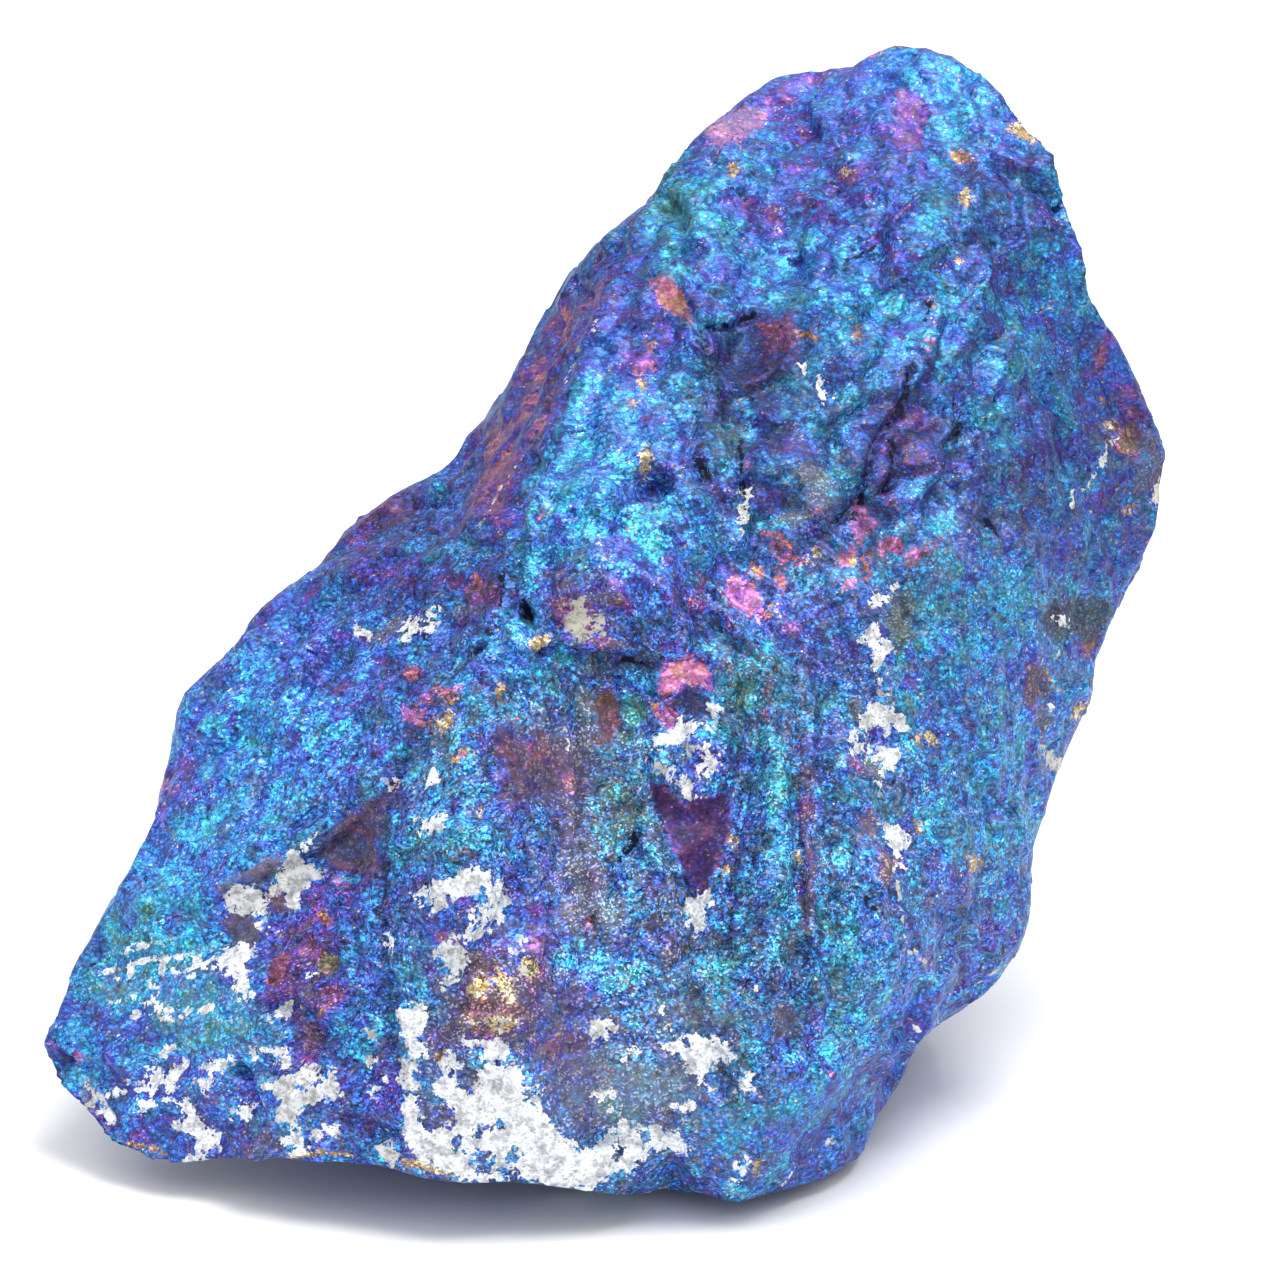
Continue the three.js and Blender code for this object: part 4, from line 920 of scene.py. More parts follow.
# dull places, over the broad patches
PX_DULL = [
    patch(0.70, [(795, 462), (808, 460), (822, 476), (833, 490), (828, 505), (812, 512), (795, 522),
                 (774, 523), (780, 514), (800, 508), (806, 490), (798, 476)], brightness_and_painted_light=1.4, dull=1.1),
    patch(0.42, [(318, 842), (336, 826), (350, 812), (366, 800), (384, 790), (394, 778), (390, 800),
                 (380, 840), (375, 873), (356, 881), (340, 868), (325, 862)],
          brightness_and_painted_light=0.66, dull=0.62, grit=0.45),
    patch(0.50, [(213, 891), (228, 878), (248, 869), (270, 857), (284, 850), (278, 870), (264, 886),
                 (250, 880), (232, 884), (220, 895)], brightness_and_painted_light=0.95, dull=1.1, grit=0.15),
    patch(0.50, [(232, 912), (256, 915), (262, 932), (258, 945), (246, 950), (238, 942), (226, 934)],
          brightness_and_painted_light=0.6, dull=1.1, grit=0.15),
    patch(0.38, [(263, 897), (284, 894), (290, 908), (280, 918), (272, 914)], brightness_and_painted_light=0.6, dull=0.8, grit=0.2),
    patch(0.60, [(372, 641), (382, 628), (396, 611), (405, 616), (398, 632), (390, 643)], brightness_and_painted_light=0.7, dull=0.9),
    patch(0.60, [(450, 606), (478, 600), (480, 614), (456, 618)], brightness_and_painted_light=0.7, dull=0.8),
    # brownish-grey rock with painted shade in the notch
    patch(0.70, [(1041, 618), (1050, 605), (1070, 601), (1095, 595), (1115, 599), (1108, 620),
                 (1098, 652), (1084, 641), (1070, 635), (1056, 637), (1046, 631)], brightness_and_painted_light=0.5, dull=0.62),
    patch(0.45, [(1023, 672), (1036, 663), (1049, 680), (1044, 698), (1030, 703), (1023, 688)],
          brightness_and_painted_light=0.6, dull=0.85),
    patch(0.45, [(1036, 710), (1044, 706), (1042, 745), (1034, 742)], brightness_and_painted_light=0.65, dull=0.8),
    patch(0.10, [(1082, 640), (1098, 640), (1094, 656), (1082, 656)], brightness_and_painted_light=0.75, dull=0.7),
    patch(0.40, [(859, 822), (870, 815), (877, 824), (874, 839), (864, 843)], brightness_and_painted_light=0.9, dull=1.0, grit=0.3),
    patch(0.60, [(846, 700), (860, 696), (862, 716), (852, 722)], brightness_and_painted_light=0.75, dull=0.75),
    patch(0.90, [(890, 596), (912, 590), (914, 640), (896, 660), (888, 630)], brightness_and_painted_light=0.6, dull=0.6),
    patch(0.60, [(860, 760), (880, 762), (880, 778), (866, 774)], brightness_and_painted_light=0.9, dull=0.8),
    patch(0.15, [(880, 850), (896, 860), (892, 890), (880, 880)], brightness_and_painted_light=0.8, dull=0.8),
    # painted shade under the ledge, over grey rock
    patch(0.66, [(580, 650), (620, 654), (664, 652), (650, 670), (622, 668), (604, 684), (592, 668)],
          brightness_and_painted_light=0.65, dull=0.5),
    patch(0.80, [(575, 690), (596, 690), (590, 740), (578, 760)], brightness_and_painted_light=0.8, dull=0.7),
    patch(0.60, [(572, 840), (600, 850), (604, 900), (576, 910)], brightness_and_painted_light=0.9, dull=0.85),
    patch(0.70, [(592, 900), (628, 896), (626, 930), (600, 938)], brightness_and_painted_light=1.1, dull=0.8),
    patch(0.45, [(772, 1012), (790, 1006), (792, 1034), (772, 1040)], brightness_and_painted_light=0.8, dull=0.85, grit=0.4),
    patch(0.08, [(1120, 420), (1135, 430), (1130, 460), (1118, 440)], brightness_and_painted_light=0.8, dull=0.7),
    patch(0.42, [(800, 770), (810, 770), (814, 930), (804, 930)], brightness_and_painted_light=1.1, dull=0.4),
]
# painted shade, black gaps along the narrowest cracks: half width in mm, places
PX_SHADED_GAPS = [
    (0.52, [(911, 370), (904, 394), (897, 412)]),
    (0.4, [(893, 440), (891, 468), (884, 492)]),
    (0.36, [(868, 470), (862, 496), (852, 520)]),
    (0.4, [(958, 398), (960, 416), (960, 434)]),
    (0.34, [(1025, 372), (1023, 394)]),
    (0.36, [(708, 326), (722, 328), (738, 322), (752, 316)]),
    (0.34, [(741, 436), (741, 470), (745, 505)]),
    (0.55, [(699, 462), (706, 478)]),
    (0.42, [(880, 245), (862, 254), (846, 262)]),
    (0.42, [(931, 300), (924, 318)]),
    (0.7, [(525, 606), (528, 618)]),
    (0.36, [(505, 570), (500, 600), (490, 632)]),
    (0.45, [(640, 832), (630, 848), (622, 858)]),
    (0.36, [(625, 659), (640, 662), (655, 660)]),
    (0.5, [(868, 900), (871, 908)]),
    (0.42, [(985, 520), (996, 534)]),
]
GAP_REACH = 1.0  # mm beside a gap over which its distance is stored
CRACK_SHADE = 0.8  # painted shade: how much darker the cracks are coloured
# px on each side of an outline over which its mark fades
CRUST_SOFT = 11
FIELD_SOFT = 22
SPOT_SOFT = 7
DULL_SOFT = 5
FIELD_STRENGTH = 0.85  # share of a broad patch that covers what lies under it
# film numbers of the stone between the patches and of the spots strewn over its hidden side
PLAIN_FILM = 0.645
SCATTERED_GOLD = 0.02
SCATTERED_PINK = 0.24
# how rare those spots and the strewn crust are
RARE_SPOT = 0.75
RARE_CRUST = 0.72
LOW_DOWN = 45  # mm; below this height the strewn crust is less rare
# painted light and shade: the film is coloured darker up high and lighter low down: brightness, and px down
# from the frame's top over which it changes
PAINTED_SHADE_HIGH, PAINTED_LIGHT_LOW = 0.8, 1.08
PAINTED_LIGHT_STARTS, PAINTED_LIGHT_RUN = 420, 380
# it sparkles most round one place: sparkle there and SPARKLE_REACH px away
PX_SPARKLE = (600, 950)
SPARKLE_REACH = 700
SPARKLE_NEAR, SPARKLE_FAR = 1.2, 0.5
# painted light and shade, places coloured lighter or darker as a whole: brightness and closed outline
PX_PAINTED_LIGHT_AND_SHADE = [
    (1.35, [(680, 150), (760, 90), (880, 30), (1010, 70), (1000, 130), (900, 120), (800, 150)]),
    (1.2, [(530, 440), (600, 330), (700, 420), (710, 560), (620, 630), (520, 630)]),
    (1.05, [(500, 420), (700, 150), (760, 200), (640, 340), (560, 440)]),
    (1.2, [(170, 690), (300, 570), (400, 560), (400, 800), (330, 850), (130, 850)]),
    (1.12, [(50, 1010), (130, 880), (330, 880), (390, 1150), (200, 1170), (60, 1100)]),
    (1.06, [(390, 900), (690, 900), (690, 1190), (400, 1190)]),
    (0.6, [(700, 330), (800, 330), (810, 430), (720, 430)]),
    (0.85, [(800, 330), (1000, 350), (1000, 520), (740, 560)]),
    (0.85, [(740, 650), (850, 650), (850, 1000), (740, 1000)]),
    (1.04, [(900, 560), (1130, 560), (1020, 960), (880, 1000)]),
    (0.85, [(700, 970), (900, 970), (860, 1120), (760, 1190), (690, 1180)]),
]
# places where grey rock shows through more: how much, and closed outline
PX_GREYER = [
    (0.22, [(390, 690), (700, 640), (860, 560), (1060, 450), (1130, 700), (1010, 980), (800, 1190),
            (400, 1200)]),
    (0.15, [(380, 960), (700, 960), (800, 1190), (400, 1200)]),
    (0.15, [(700, 340), (1000, 340), (1000, 560), (700, 620)]),
    (0.15, [(80, 940), (260, 940), (380, 1160), (80, 1160)]),
]
WIDE_SOFT = 60  # px on each side of these outlines


def warped(stone, size, amount, salt):
    """Places in the frame, pushed about so that outlines become ragged; size and amount are in mm."""
    return frame_places(wandered(stone.points, size, amount, salt))


def hidden_side(stone):
    """1 on what the camera doesn't see, falling to 0 towards what it does."""
    return smooth_step((0.15 - stone.facing) / 0.4)


def crust_and_tone(stone):
    """How far each point lies inside the crust, and the crust's tone."""
    points = stone.points
    crust = np.full(len(points), -1.0)
    tone = 0.8 + 0.3 * soft_noise(points, 7, 41)
    for number, outline in PX_CRUST:
        inside = stone.in_outline(outline, CRUST_SOFT)
        tone = np.where((inside > -0.6) & (inside > crust), number, tone)
        crust = np.maximum(crust, inside)
    for outline in PX_CRUST_HOLES:
        crust = np.minimum(crust, -stone.in_outline(outline, CRUST_SOFT))
    for number, reach, places in PX_VEINS:
        inside = stone.along_line(places, reach)
        tone = np.where((inside > -0.5) & (inside > crust), number, tone)
        crust = np.maximum(crust, inside * 0.8)
    low_down = np.clip(1 - points[:, 2] / LOW_DOWN, 0, 1)
    scattered = soft_noise(points, 9, 31) + 0.5 * soft_noise(points, 3, 35) + 0.5 * low_down
    hidden = hidden_side(stone)
    crust = np.maximum(crust, np.clip((scattered - RARE_CRUST) * 1.6, -1, 1) * hidden - (1 - hidden))
    return crust, tone


def lay(values, marks, share):
    """Lays the numbers of one mark over the values, as far as its share goes."""
    for name, number in marks.items():
        values[name] = values[name] + (number - values[name]) * share


def broad_marks(stone):
    """Film number, brightness, greyness and sparkle of each point, with painted shade in the cracks, the
    hidden grooves and the gaps.
    """
    points = stone.points
    hidden = hidden_side(stone)
    values = {
        "film": PLAIN_FILM + 0.07 * soft_noise(points, 16, 91) + 0.07 * soft_noise(points, 6, 95),
        "brightness_and_painted_light": 1 + 0.16 * soft_noise(points, 10, 81) + 0.12 * soft_noise(points, 4, 85),
        "dull": 0.10 + 0.12 * soft_noise(points, 5, 88),
        "grit": np.ones(len(points)),
    }
    values["film"] += hidden * (0.14 * soft_noise(points, 9, 111) + 0.12 * soft_noise(points, 22, 113))
    # random tone, and the hidden grooves coloured darker as painted shade
    values["brightness_and_painted_light"] += hidden * (0.3 * soft_noise(points, 18, 117) - 0.5 * hidden_grooves(stone))
    values["dull"] += hidden * smooth_step((soft_noise(points, 11, 115) - 0.3) * 2)
    stone.places = warped(stone, 5.0, 1.6, 121)
    for field in PX_FIELDS:
        marks = {name: field[name] for name in FILM_MARKS}
        inside = stone.in_outline(field["outline"], FIELD_SOFT)
        lay(values, marks, FIELD_STRENGTH * share_of(inside))
    stone.places = warped(stone, 2.5, 0.7, 125)
    for place in PX_DULL:
        marks = {name: place[name] for name in FILM_MARKS}
        lay(values, marks, share_of(stone.in_outline(place["outline"], DULL_SOFT)))
    # painted shade: the cracks are coloured darker
    for places, reach, _ in PX_CRACKS:
        near = np.clip(stone.along_line(places, reach), 0, 1)
        values["brightness_and_painted_light"] = values["brightness_and_painted_light"] * (1 - CRACK_SHADE * near**1.5)
    # painted shade: nearly black gaps along the narrowest cracks
    values["gap"] = np.full(len(points), -GAP_REACH)
    for half, places in PX_SHADED_GAPS:
        inside = half - (1 - stone.along_line(places, GAP_REACH)) * GAP_REACH
        values["gap"] = np.maximum(values["gap"], inside)
    return values


def spot_marks(stone, values):
    """Adds how far each point lies inside a sharp-edged spot, and the film number of that spot."""
    points = stone.points
    hidden = hidden_side(stone)
    rare = soft_noise(points, 7, 101) + 0.4 * soft_noise(points, 2.5, 105)
    values["spot"] = np.clip((rare - RARE_SPOT) * 2, -1, 1) * hidden - (1 - hidden)
    values["tint"] = np.where(soft_noise(points, 12, 107) > 0, SCATTERED_GOLD, SCATTERED_PINK)
    stone.places = warped(stone, 1.8, 0.4, 131)
    golds = [patch(film, outline, brightness_and_painted_light=brightness_and_painted_light) for film, brightness_and_painted_light, outline in PX_GOLD]
    for spot in PX_SPOTS + golds:
        inside = stone.in_outline(spot["outline"], SPOT_SOFT)
        takes_over = (inside > -0.7) & (inside > values["spot"])
        values["tint"] = np.where(takes_over, spot["film"], values["tint"])
        values["spot"] = np.maximum(values["spot"], inside)
        marks = {name: spot[name] for name in ("brightness_and_painted_light", "dull", "grit")}
        lay(values, marks, smooth_step(inside + 0.5))
    for film, reach, places in PX_RIMS:
        inside = stone.along_line(places, reach)
        values["tint"] = np.where(inside > -0.7, film, values["tint"])
        values["spot"] = np.maximum(values["spot"], inside)


def fade_marks(stone, values):
    """Colours the film darker up high and lighter low down as painted shade and light, makes it calmer away
    from the place that sparkles most, adds painted light and shade over whole places and makes some places
    greyer.
    """
    places = frame_places(stone.points)
    lower = smooth_step((places[:, 1] - PAINTED_LIGHT_STARTS) / PAINTED_LIGHT_RUN)
    values["brightness_and_painted_light"] = values["brightness_and_painted_light"] * (PAINTED_SHADE_HIGH + (PAINTED_LIGHT_LOW - PAINTED_SHADE_HIGH) * lower)
    away = smooth_step(np.linalg.norm(places - PX_SPARKLE, axis=1) / SPARKLE_REACH)
    values["grit"] = values["grit"] * (SPARKLE_NEAR + (SPARKLE_FAR - SPARKLE_NEAR) * away)
    stone.places = places
    for factor, outline in PX_PAINTED_LIGHT_AND_SHADE:
        share = share_of(stone.in_outline(outline, WIDE_SOFT))
        values["brightness_and_painted_light"] = values["brightness_and_painted_light"] * (1 + (factor - 1) * share)
    for amount, outline in PX_GREYER:
        share = share_of(stone.in_outline(outline, WIDE_SOFT))
        values["dull"] = values["dull"] + amount * share


def mark(mesh):
    """Stores the markings as one number per point for each property."""
    stone = Stone(mesh)
    values = broad_marks(stone)
    spot_marks(stone, values)
    fade_marks(stone, values)
    stone.places = warped(stone, 1.6, 0.3, 141)
    values["crust"], values["tone"] = crust_and_tone(stone)
    for name, numbers in values.items():
        mesh.attributes.new(name, "FLOAT", "POINT").data.foreach_set("value", numbers)


# ---------------------------------------------------------------- material

# film number and colour, from bare gold through red, violet and blue to green
FILM_RAMP = [
    (0.00, (0.86, 0.74, 0.45)),
    (0.06, (0.68, 0.47, 0.17)),
    (0.12, (0.74, 0.33, 0.20)),
    (0.19, (0.78, 0.23, 0.38)),
    (0.28, (0.54, 0.18, 0.52)),
    (0.38, (0.20, 0.07, 0.50)),
    (0.48, (0.09, 0.10, 0.66)),
    (0.60, (0.05, 0.18, 0.78)),
    (0.71, (0.05, 0.31, 0.84)),
    (0.83, (0.05, 0.50, 0.90)),
    (0.93, (0.05, 0.42, 0.50)),
    (1.00, (0.08, 0.26, 0.20)),
]
FILM_BRIGHTNESS = 0.69
BARE_GRAINS = (0.62, 0.52, 0.36)  # the smallest spots without film
GREYS = [(0.06, 0.09, 0.13), (0.17, 0.18, 0.21)]  # where the film is thin
ROCK = [(0.09, 0.08, 0.085), (0.17, 0.155, 0.16)]
ROCK_SPECKS = (0.60, 0.56, 0.50)
FILM_ON_ROCK = 0.28  # share of the film's colour that dull rock keeps
CRUST_CREAM, CRUST_WHITE = (0.38, 0.36, 0.30), (0.84, 0.87, 0.92)
# painted shade: the nearly black colour of the gaps in the cracks
GAP_SHADE_COLOUR = (0.006, 0.007, 0.03)
# painted glints and shade: brightness from the dimmest to the brightest facet, coarse to fine
CLUMP_SHADES = (0.85, 1.12)
FACET_SHADES = (0.8, 1.2)
FLAKE_SHADES = (0.84, 1.14)
GRAIN_SHADES = (0.58, 1.44)
GRAIN_EDGE_SHADE = 0.6  # painted shade: brightness at the edge of a grain
FINE_SHADES = (0.4, 1.5)
GLINT = 3.0  # painted glint: what the brightest facets add
PIT_SHADE = 0.4  # painted shade: brightness in the smallest pits
# how far the film number swings with noise and from facet to facet, coarse to fine
CLOUD_SWING = (-0.11, 0.085)
FACET_SWING = (-0.075, 0.085)
FLAKE_SWING = (-0.07, 0.05)
GRAIN_SWING = (-0.045, 0.045)
FINE_SWING = (-0.03, 0.03)
SPOT_SWING = 0.45  # share of the swing that is left inside a spot
# facets in mm, coarse to fine
FACET_SIZE, FLAKE_SIZE, GRAIN_SIZE, FINE_SIZE = 2.0, 0.85, 0.42, 0.17
STROKE_LENGTH = 1.3  # how far the facets are drawn out sideways
WANDER_SIZE = 2.1  # mm
FACET_PUSH, STROKE_PUSH = 2.2, 0.3  # mm that they are pushed about
# on the film, and on crust or rock
FACET_LEAN, CRUST_LEAN = 0.55, 0.1
FILM_METAL, CRUST_METAL = 0.5, 0.0
FILM_ROUGHNESS, CRUST_ROUGHNESS = 0.44, 0.8
SPECULAR_LEVEL = 0.3


class Graph:
    """A short way to write a material's nodes."""

    def __init__(self, tree):
        self.tree = tree
        tree.nodes.clear()

    def node(self, kind, inputs=None, **settings):
        made = self.tree.nodes.new(kind)
        for name, value in settings.items():
            setattr(made, name, value)
        for name, value in (inputs or {}).items():
            if isinstance(value, bpy.types.NodeSocket):
                self.tree.links.new(value, made.inputs[name])
            else:
                made.inputs[name].default_value = value
        return made

    def math(self, operation, a, b=0.0, clamp=False):
        return self.node("ShaderNodeMath", {0: a, 1: b}, operation=operation, use_clamp=clamp).outputs[0]

    def vector(self, operation, a, b=None):
        second = "Scale" if operation == "SCALE" else 1
        inputs = {0: a} if b is None else {0: a, second: b}
        return self.node("ShaderNodeVectorMath", inputs, operation=operation).outputs[0]

    def blend(self, amount, a, b):
        return self.node("ShaderNodeMix", {0: amount, 2: a, 3: b}, data_type="FLOAT").outputs[0]

    def between(self, value, low, high, out_low=0.0, out_high=1.0):
        return self.node(
            "ShaderNodeMapRange",
            {"Value": value, "From Min": low, "From Max": high, "To Min": out_low, "To Max": out_high},
            interpolation_type="SMOOTHSTEP",
        ).outputs[0]

    def mix(self, amount, a, b, blend="MIX"):
        made = self.node("ShaderNodeMix", data_type="RGBA", blend_type=blend)
        for socket, value in ((made.inputs[0], amount), (made.inputs[6], a), (made.inputs[7], b)):
            if isinstance(value, bpy.types.NodeSocket):
                self.tree.links.new(value, socket)
            else:
                socket.default_value = value if isinstance(value, float) else (*value, 1)
        return made.outputs[2]

    def shaded(self, colour, amount):
        grey = self.node("ShaderNodeCombineColor", {0: amount, 1: amount, 2: amount}).outputs[0]
        return self.mix(1.0, colour, grey, "MULTIPLY")

    def noise(self, place, size, detail=2.0, roughness=0.5):
        inputs = {"Vector": place, "Scale": 1 / (size * MM), "Detail": detail, "Roughness": roughness}
        return self.node("ShaderNodeTexNoise", inputs).outputs["Fac"]

    def cells(self, place, size):
        """The random colour of each cell, whole and as three numbers, and the distance to its middle."""
        made = self.node("ShaderNodeTexVoronoi", {"Vector": place, "Scale": 1 / (size * MM)})
        split = self.node("ShaderNodeSeparateColor", {"Color": made.outputs["Color"]})
        return made.outputs["Color"], split.outputs, made.outputs["Distance"]

    def attribute(self, name):
        return self.node("ShaderNodeAttribute", attribute_name=name).outputs["Fac"]

    def ramp(self, number, stops):
        made = self.node("ShaderNodeValToRGB", {"Fac": number})
        elements = made.color_ramp.elements
        while len(elements) < len(stops):
            elements.new(0.5)
        for element, (position, colour) in zip(elements, stops):
            element.position = position
            element.color = (*colour, 1)
        return made.outputs["Color"]


def wandering(g, place, size):
    """A direction that changes smoothly from place to place."""
    wander = g.node("ShaderNodeTexNoise", {"Vector": place, "Scale": 1 / (size * MM), "Detail": 1.0})
    return g.vector("SUBTRACT", wander.outputs["Color"], (0.5, 0.5, 0.5))


def brushed(g, place, wander, push):
    """The place, drawn out sideways and pushed about so that cells become uneven strokes."""
    pushed = g.vector("ADD", place, g.vector("SCALE", wander, push * MM))
    return g.vector("MULTIPLY", pushed, (1 / STROKE_LENGTH, 1.0, 1.0))


def brightness(g, clouds, facet, flake, grain, fine, off_middle):
    """How the facets glint, painted into the colour: most are dim, a few are bright with painted glints, and
    the pits are nearly black with painted shade.
    """
    facets = g.math(
        "MULTIPLY",
        g.between(grain[1], 0.0, 1.0, *GRAIN_SHADES),
        g.between(fine[1], 0.0, 1.0, *FINE_SHADES),
    )
    clump = g.between(clouds, 0.35, 0.68)
    for number, shades in ((clump, CLUMP_SHADES), (facet[1], FACET_SHADES), (flake[1], FLAKE_SHADES)):
        facets = g.math("MULTIPLY", facets, g.between(number, 0.0, 1.0, *shades))
    glint = g.math("MULTIPLY", g.between(fine[2], 0.74, 0.96, 0.0, GLINT), clump)
    spark = g.math("SUBTRACT", g.math("ADD", facets, glint), 1.0)
    spark = g.math("ADD", 1.0, g.math("MULTIPLY", g.attribute("grit"), spark))
    # painted shade in the smallest pits and along the edges of the grains
    pits = g.between(grain[2], 0.02, 0.07, PIT_SHADE, 1.0)
    pits = g.math("MULTIPLY", pits, g.between(off_middle, 0.3, 0.62, 1.0, GRAIN_EDGE_SHADE))
    return g.math("MULTIPLY", g.math("MULTIPLY", spark, pits), g.attribute("brightness_and_painted_light"))


def film_colour(g, place, facet, flake, grain, fine, off_middle):
    """The tarnish film: hue by film number, bluer in dim facets and greener in bright ones, with the facets'
    painted glints and shade.
    """
    edge = g.between(g.noise(place, 0.5, 2.0, 0.75), 0.25, 0.75, -0.6, 0.6)
    spot = g.between(g.math("ADD", g.attribute("spot"), edge), -0.12, 0.12)
    offset = g.between(g.noise(place, 3.4, 1.0, 0.6), 0.25, 0.75, *CLOUD_SWING)
    offset = g.math("ADD", offset, g.between(flake[0], 0.0, 1.0, *FLAKE_SWING))
    offset = g.math("ADD", offset, g.between(facet[0], 0.0, 1.0, *FACET_SWING))
    offset = g.math("ADD", offset, g.between(grain[1], 0.0, 1.0, *GRAIN_SWING))
    offset = g.math("ADD", offset, g.between(fine[1], 0.0, 1.0, *FINE_SWING))
    film = g.blend(spot, g.attribute("film"), g.attribute("tint"))
    film = g.math("ADD", film, g.math("MULTIPLY", offset, g.between(spot, 0.0, 1.0, 1.0, SPOT_SWING)))

    clouds = g.noise(place, 2.2, 2.0, 0.65)
    bright = brightness(g, clouds, facet, flake, grain, fine, off_middle)
    bare = g.math("MULTIPLY", g.between(fine[0], 0.93, 0.96), g.between(flake[2], 0.55, 0.7))
    colour = g.mix(bare, g.ramp(film, FILM_RAMP), BARE_GRAINS)
    colour = g.shaded(colour, g.math("MULTIPLY", bright, FILM_BRIGHTNESS))
    grey = g.between(clouds, 0.25, 0.5, 0.4, 0.0)
    grey = g.math("ADD", grey, g.between(grain[0], 0.5, 1.0, 0.0, 0.3), True)
    return g.mix(grey, colour, g.shaded(g.mix(fine[0], GREYS[0], GREYS[1]), bright))


def dull_colour(g, fine, grain, film):
    """Drab brown-grey stone with light specks and a trace of the film."""
    specks = g.math("MULTIPLY", g.between(fine[2], 0.72, 0.96), g.attribute("grit"))
    colour = g.mix(specks, g.mix(grain[2], ROCK[0], ROCK[1]), ROCK_SPECKS)
    return g.mix(FILM_ON_ROCK, g.shaded(colour, g.attribute("brightness_and_painted_light")), film)


def ore_material():
    material = bpy.data.materials.new("tarnished_ore")
    material.use_nodes = True
    g = Graph(material.node_tree)
    place = g.node("ShaderNodeTexCoord").outputs["Object"]
    wander = wandering(g, place, WANDER_SIZE)
    facet_colour, facet, _ = g.cells(brushed(g, place, wander, FACET_PUSH), FACET_SIZE)
    strokes = brushed(g, place, wander, STROKE_PUSH)
    flake = g.cells(strokes, FLAKE_SIZE)[1]
    grain_colour, grain, off_middle = g.cells(strokes, GRAIN_SIZE)
    fine_colour, fine, _ = g.cells(strokes, FINE_SIZE)

    colour = film_colour(g, place, facet, flake, grain, fine, off_middle)
    ragged = g.noise(place, 0.95, 3.0, 0.67)
    dull = g.between(ragged, 0.3, 0.7, -0.3, 0.3)
    dull = g.between(g.math("ADD", g.attribute("dull"), dull), 0.1, 0.9, 0.0, 0.9)
    colour = g.mix(dull, colour, dull_colour(g, fine, grain, colour))

    edge = g.between(ragged, 0.25, 0.75, -0.6, 0.5)
    crust = g.between(g.math("ADD", g.attribute("crust"), edge), -0.05, 0.05)
    crust_colour = g.mix(g.attribute("tone"), CRUST_CREAM, CRUST_WHITE)
    mottle = g.between(g.noise(place, 1.2, 2.0, 0.8), 0.32, 0.6, 0.48, 1.0)
    mottle = g.math("MULTIPLY", mottle, g.between(fine[1], 0.0, 0.35, 0.62, 1.0))
    colour = g.mix(crust, colour, g.shaded(crust_colour, mottle))
    # painted shade: the black gaps in the cracks
    edge = g.between(ragged, 0.25, 0.75, -0.35, 0.3)
    gap = g.between(g.math("ADD", g.attribute("gap"), edge), -0.03, 0.06)
    colour = g.mix(gap, colour, GAP_SHADE_COLOUR)

    leaning = g.mix(0.4, g.mix(0.5, grain_colour, fine_colour), facet_colour)
    spread = g.vector("SUBTRACT", leaning, (0.5, 0.5, 0.5))
    amount = g.math("MULTIPLY", g.between(crust, 0.0, 1.0, FACET_LEAN, CRUST_LEAN), g.attribute("grit"))
    normal = g.node("ShaderNodeNewGeometry").outputs["Normal"]
    facing = g.vector("NORMALIZE", g.vector("ADD", normal, g.vector("SCALE", spread, amount)))

    covered = g.math("MAXIMUM", crust, g.math("MULTIPLY", dull, 0.75))
    metal = g.between(covered, 0.0, 1.0, FILM_METAL, CRUST_METAL)
    matt = g.math("MAXIMUM", crust, dull)
    rough = g.between(matt, 0.0, 1.0, FILM_ROUGHNESS, CRUST_ROUGHNESS)
    shader = g.node(
        "ShaderNodeBsdfPrincipled",
        {"Base Color": colour, "Metallic": metal, "Roughness": rough, "Normal": facing},
    )
    shader.inputs["Specular IOR Level"].default_value = SPECULAR_LEVEL
    g.node("ShaderNodeOutputMaterial", {"Surface": shader.outputs[0]})
    return material


# ---------------------------------------------------------------- studio

FLOOR_HALF = 3000.0
FLOOR_GREY = 0.9
FLOOR_ROUGHNESS = 0.6
LIGHT_PLACE = (140, -80, 640)
LIGHT_SIZE = 400
LIGHT_POWER = 3.4  # watts
# the world: height of the direction (0 at the horizon, 1 overhead) and brightness
WORLD = [(0.0, 0.75), (0.06, 0.75), (0.11, 0.38), (0.35, 0.55), (0.7, 0.9), (1.0, 1.0)]
WORLD_STRENGTH = 1.4


def make_floor():
    size = FLOOR_HALF * MM
    mesh = bpy.data.meshes.new("floor")
    corners = [(-size, -size, 0), (size, -size, 0), (size, size, 0), (-size, size, 0)]
    mesh.from_pydata(corners, [], [(0, 1, 2, 3)])
    floor = bpy.data.objects.new("floor", mesh)
    bpy.context.scene.collection.objects.link(floor)
    material = bpy.data.materials.new("floor")
    material.use_nodes = True
    shader = material.node_tree.nodes["Principled BSDF"]
    shader.inputs["Base Color"].default_value = (FLOOR_GREY, FLOOR_GREY, FLOOR_GREY, 1)
    shader.inputs["Roughness"].default_value = FLOOR_ROUGHNESS
    mesh.materials.append(material)


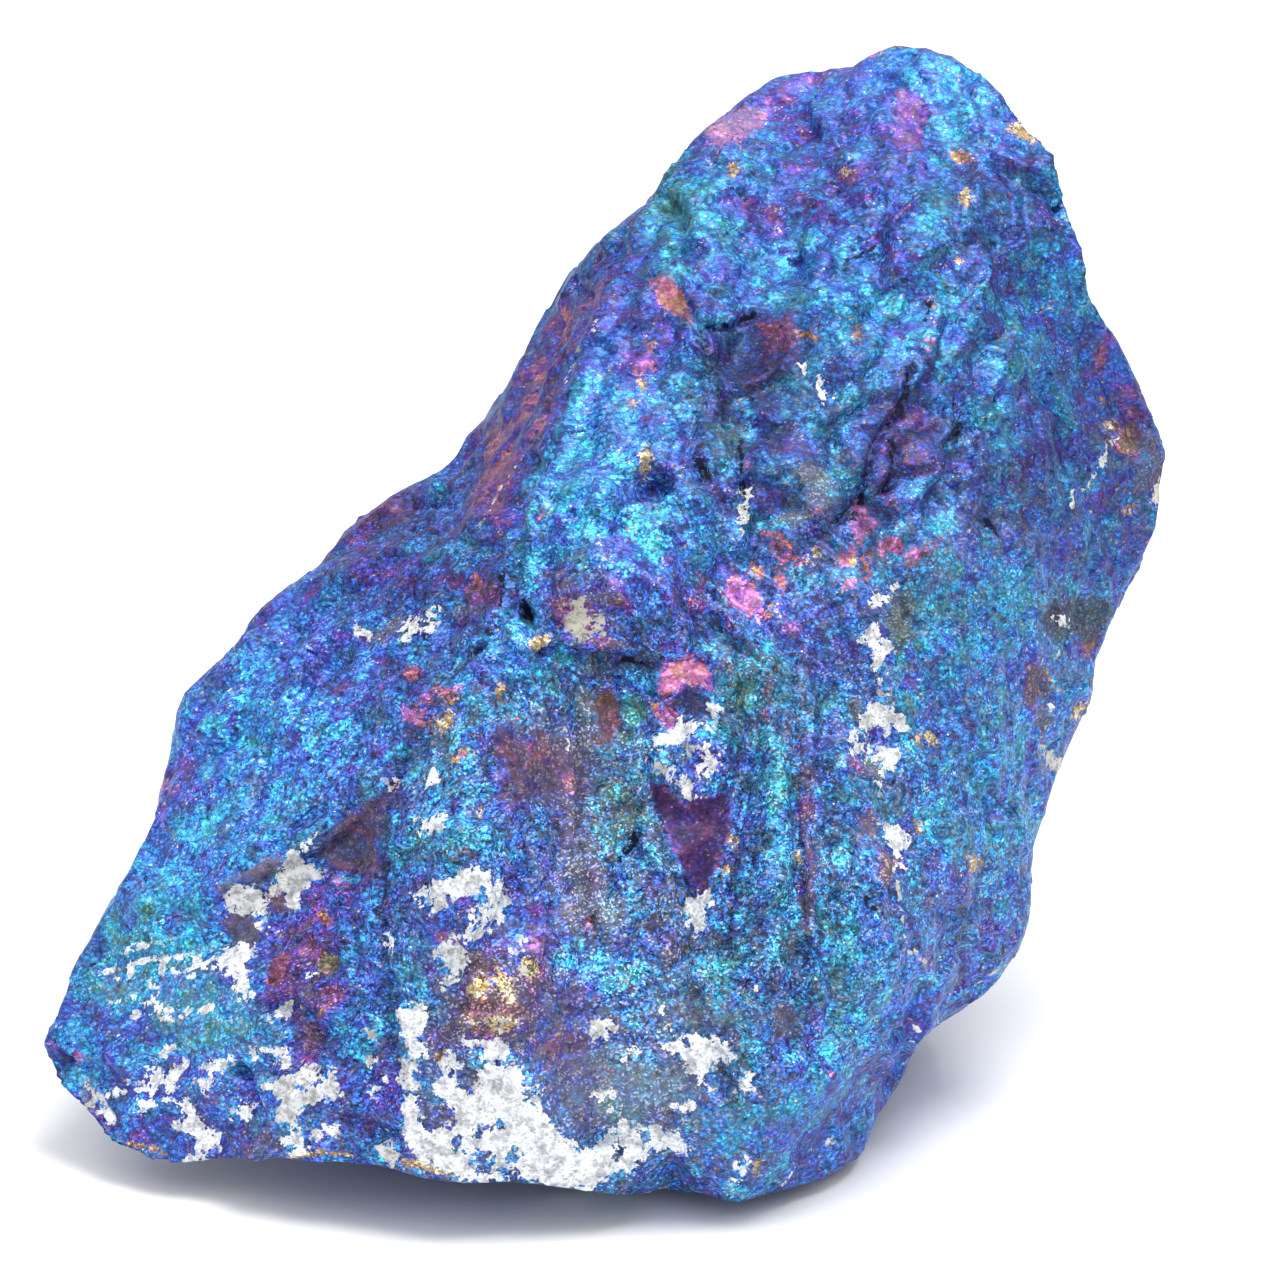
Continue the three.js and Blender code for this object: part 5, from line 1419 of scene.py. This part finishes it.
def make_light(name, place, size, power):
    data = bpy.data.lights.new(name, "AREA")
    data.shape = "DISK"
    data.size = size * MM
    data.energy = power
    light = bpy.data.objects.new(name, data)
    light.location = Vector(place) * MM
    light.rotation_mode = "QUATERNION"
    light.rotation_quaternion = (AIM - Vector(place)).to_track_quat("-Z", "Y")
    bpy.context.scene.collection.objects.link(light)


def make_world():
    """A light tent, brightest overhead and white at the horizon behind the floor's edge."""
    world = bpy.data.worlds.new("studio")
    world.use_nodes = True
    g = Graph(world.node_tree)
    direction = g.node("ShaderNodeTexCoord").outputs["Generated"]
    height = g.node("ShaderNodeSeparateXYZ", {0: direction}).outputs["Z"]
    strength = g.node("ShaderNodeValToRGB", {"Fac": height}).outputs["Color"]
    stops = strength.node.color_ramp.elements
    stops[0].position, stops[0].color = 0.0, (WORLD[0][1],) * 3 + (1,)
    stops[1].position, stops[1].color = 1.0, (WORLD[-1][1],) * 3 + (1,)
    for position, level in WORLD[1:-1]:
        stops.new(position).color = (level, level, level, 1)
    background = g.node("ShaderNodeBackground", {"Color": strength, "Strength": WORLD_STRENGTH})
    g.node("ShaderNodeOutputWorld", {"Surface": background.outputs[0]})
    bpy.context.scene.world = world


def make_studio():
    bpy.context.scene.view_settings.view_transform = "Standard"
    make_floor()
    make_light("top", LIGHT_PLACE, LIGHT_SIZE, LIGHT_POWER)
    make_world()


# ---------------------------------------------------------------- scene

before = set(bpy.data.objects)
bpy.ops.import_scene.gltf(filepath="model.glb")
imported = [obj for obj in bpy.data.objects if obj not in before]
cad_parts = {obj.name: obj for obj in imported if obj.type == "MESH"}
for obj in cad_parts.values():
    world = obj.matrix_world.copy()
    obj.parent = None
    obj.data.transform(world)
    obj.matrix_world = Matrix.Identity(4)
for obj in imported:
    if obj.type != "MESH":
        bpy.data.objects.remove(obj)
cad_low, cad_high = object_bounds()

make_camera()
ore = make_skin(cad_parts["ore_lump"])
break_up(ore.data, (cad_low, cad_high))
thin_out(ore, (cad_low, cad_high))
mark(ore.data)
ore.data.materials.clear()
ore.data.materials.append(ore_material())
for polygon in ore.data.polygons:
    polygon.use_smooth = True
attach(ore, "root")
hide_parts("ore_lump")
make_studio()
